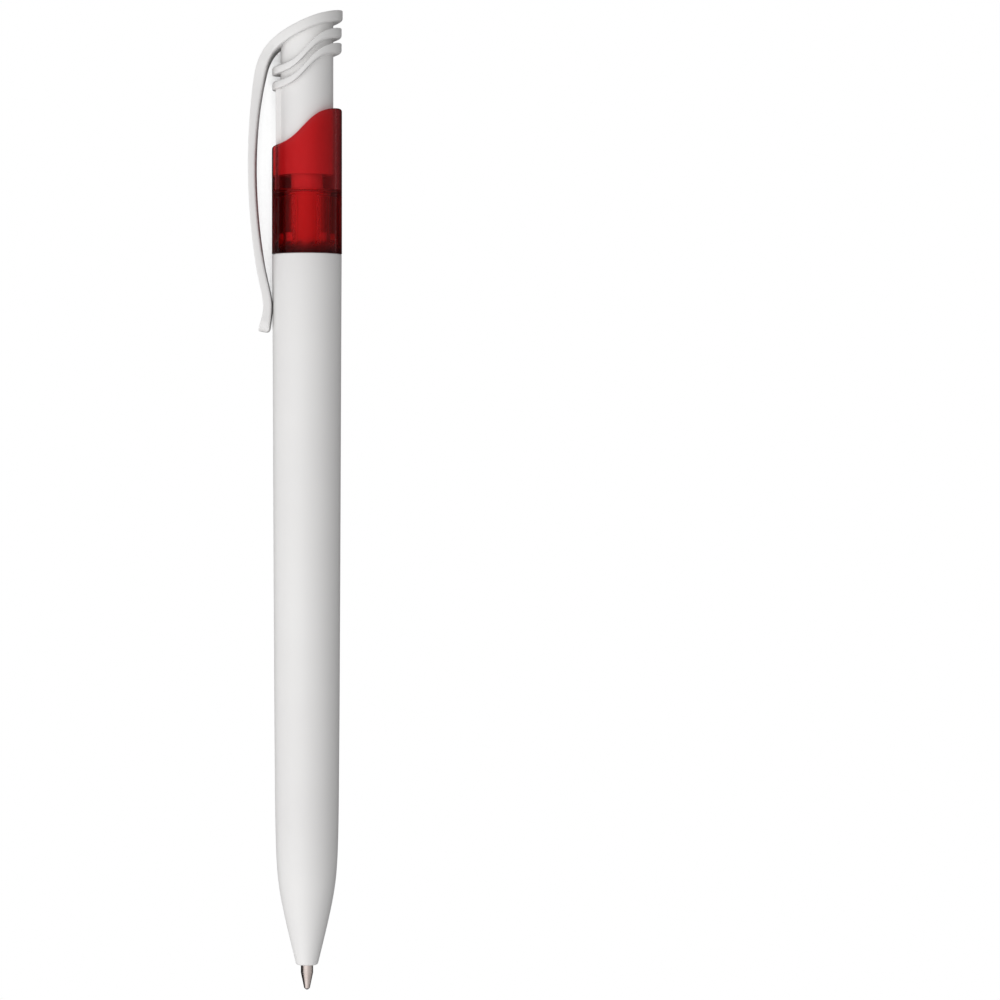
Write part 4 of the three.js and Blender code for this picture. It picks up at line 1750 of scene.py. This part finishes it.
@dataclass
class Studio:
    """The pale floor, the soft sky, the lamp and the camera."""

    floor_size: float = 4.0
    floor_roughness: float = 0.9
    camera_distance: float = 606.0
    camera_reach: float = -27.6
    camera_clip: float = 0.01
    focal_pixels: float = 4238.0
    picture_pixels: float = 1000.0
    sensor: float = 36.0
    horizon: float = 0.2
    zenith: float = 0.5
    glow: float = 0.5
    glow_from: float = 0.55
    whiteness: float = 1.0
    contact: float = 0.006
    contact_range: Corner = (0.01, 0.07)
    near: float = 0.08
    far: float = 0.3
    floor_tone: float = 0.85
    # Painted shade on the floor near the pen, as gloss and glass see it: a dark tone and a shadow
    # tone.
    painted_shade_tone: float = 0.03
    shadow_tone: float = 0.25
    pen_edge: float = 0.004
    lamp_place: Spot = (-0.33, 0.7, 0.557)
    lamp_size: float = 1.0
    lamp_power: float = 5.15

    def white_for_camera(
        self, board: Board, lit: Socket, plain: Socket, mirrored: Socket
    ) -> None:
        """Mixes plain white over a lit shader, for the camera and in gloss and glass.

        Args:
            board: The material's board.
            lit: The lit shader's output.
            plain: How much of the colour that the camera sees is plain white.
            mirrored: How much of the colour in gloss and glass is plain white.
        """
        path = board.add("ShaderNodeLightPath")
        shine = board.math("MAXIMUM", path["Is Glossy Ray"], path["Is Transmission Ray"])
        seen = board.math("MULTIPLY", path["Is Camera Ray"], plain)
        share = board.math("MAXIMUM", seen, board.math("MULTIPLY", shine, mirrored))
        board.mix_shaders(share, lit, board.add("ShaderNodeEmission")[0])

    def floor(self) -> None:
        """The pale floor, which keeps a part of the pen's shadow and shows painted shade near the
        pen in gloss and glass.
        """
        bm = bmesh.new()
        bmesh.ops.create_grid(bm, x_segments=1, y_segments=1, size=self.floor_size / 2)
        mesh = stored("floor", bm)
        floor = linked("floor", mesh)
        material = bpy.data.materials.new("pale_floor")
        material.use_nodes = True
        shader = material.node_tree.nodes["Principled BSDF"]
        board = Board(material.node_tree)
        path = board.add("ShaderNodeLightPath")
        sideways = board.split(board.place())["Y"]
        # Painted shade: near the pen, gloss sees the dark tone, and glass sees the shadow tone on
        # the pen's far side and the dark tone on the clip's side, in place of the pen's shadow
        # there.
        pale, painted_dark, shaded = [
            (tone, tone, tone, 1.0)
            for tone in (self.floor_tone, self.painted_shade_tone, self.shadow_tone)
        ]
        clip_side = board.spread(sideways, 0.0, 1.0, -self.pen_edge, self.pen_edge)
        tone = board.mix(path["Is Glossy Ray"], pale, painted_dark)
        glass_shadow_tone = board.mix(clip_side, shaded, painted_dark)
        values = {
            "Base Color": board.mix(path["Is Transmission Ray"], tone, glass_shadow_tone),
            "Roughness": self.floor_roughness,
            "Specular IOR Level": 0.0,
        }
        board.fill(shader, values)
        shade = board.add("ShaderNodeAmbientOcclusion", {"Distance": self.contact}, samples=8)
        plain = board.spread(shade["AO"], 0.0, self.whiteness, *self.contact_range)
        # Gloss and glass see plain white only away from the pen, and the painted shade nearer to
        # it.
        aside = board.math("ABSOLUTE", sideways)
        mirrored = board.spread(aside, 0.0, self.whiteness, self.near, self.far)
        self.white_for_camera(board, shader.outputs[0], plain, mirrored)
        mesh.materials.append(material)

    def world(self) -> None:
        """Soft light that grows from the horizon upwards and round the lamp."""
        world = bpy.data.worlds.new("studio")
        bpy.context.scene.world = world
        world.use_nodes = True
        board = Board(world.node_tree)
        direction = board.place()
        sky = board.spread(board.split(direction)["Z"], self.horizon, self.zenith, 0.0, 1.0)
        lamp = Vector(self.lamp_place).normalized()
        facing = board.vector_math("DOT_PRODUCT", direction, lamp)["Value"]
        glow = board.spread(facing, 0.0, self.glow, self.glow_from, 1.0)
        light = {"Color": (1.0, 1.0, 1.0, 1.0), "Strength": board.math("ADD", sky, glow)}
        board.fill(world.node_tree.nodes["Background"], light)

    def lamp(self) -> None:
        """The soft square lamp, which lights the pen without a mirror image of itself."""
        data = bpy.data.lights.new("soft_lamp", "AREA")
        data.size = self.lamp_size
        data.energy = self.lamp_power
        lamp = linked("soft_lamp", data)
        lamp.location = self.lamp_place
        lamp.rotation_euler = (-Vector(self.lamp_place)).to_track_quat("-Z", "Y").to_euler()
        lamp.visible_glossy = False
        lamp.visible_transmission = False

    def camera(self) -> None:
        """The camera at the photo's angle: it looks down on the pen, with the button at the top."""
        data = bpy.data.cameras.new("camera")
        data.sensor_width = self.sensor
        data.lens = self.focal_pixels / self.picture_pixels * self.sensor
        data.clip_start = self.camera_clip
        camera = linked("camera", data)
        turn = PEN.turn.to_3x3()
        right, up, back = (turn @ Vector(way) for way in ((0, -1, 0), (1, 0, 0), (0, 0, 1)))
        pose = Matrix((right, up, back)).transposed().to_4x4()
        pose.translation = PEN.point(PEN.middle_station, self.camera_reach, self.camera_distance)
        camera.matrix_world = pose
        bpy.context.scene.camera = camera

    def build(self) -> None:
        """Sets up the studio."""
        self.camera()
        self.floor()
        self.world()
        self.lamp()
        bpy.context.scene.view_settings.view_transform = "Standard"


def main() -> None:
    """Builds the studio and the pen's sub-assemblies in order."""
    logging.basicConfig(level=logging.INFO, format="%(message)s")
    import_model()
    finishes = Finishes()
    Studio().build()
    for part in (Barrel(), Collar(), PushButton(), Mechanism(), Refill(), ReturnSpring()):
        part.build(finishes)


if __name__ == "__main__":
    main()
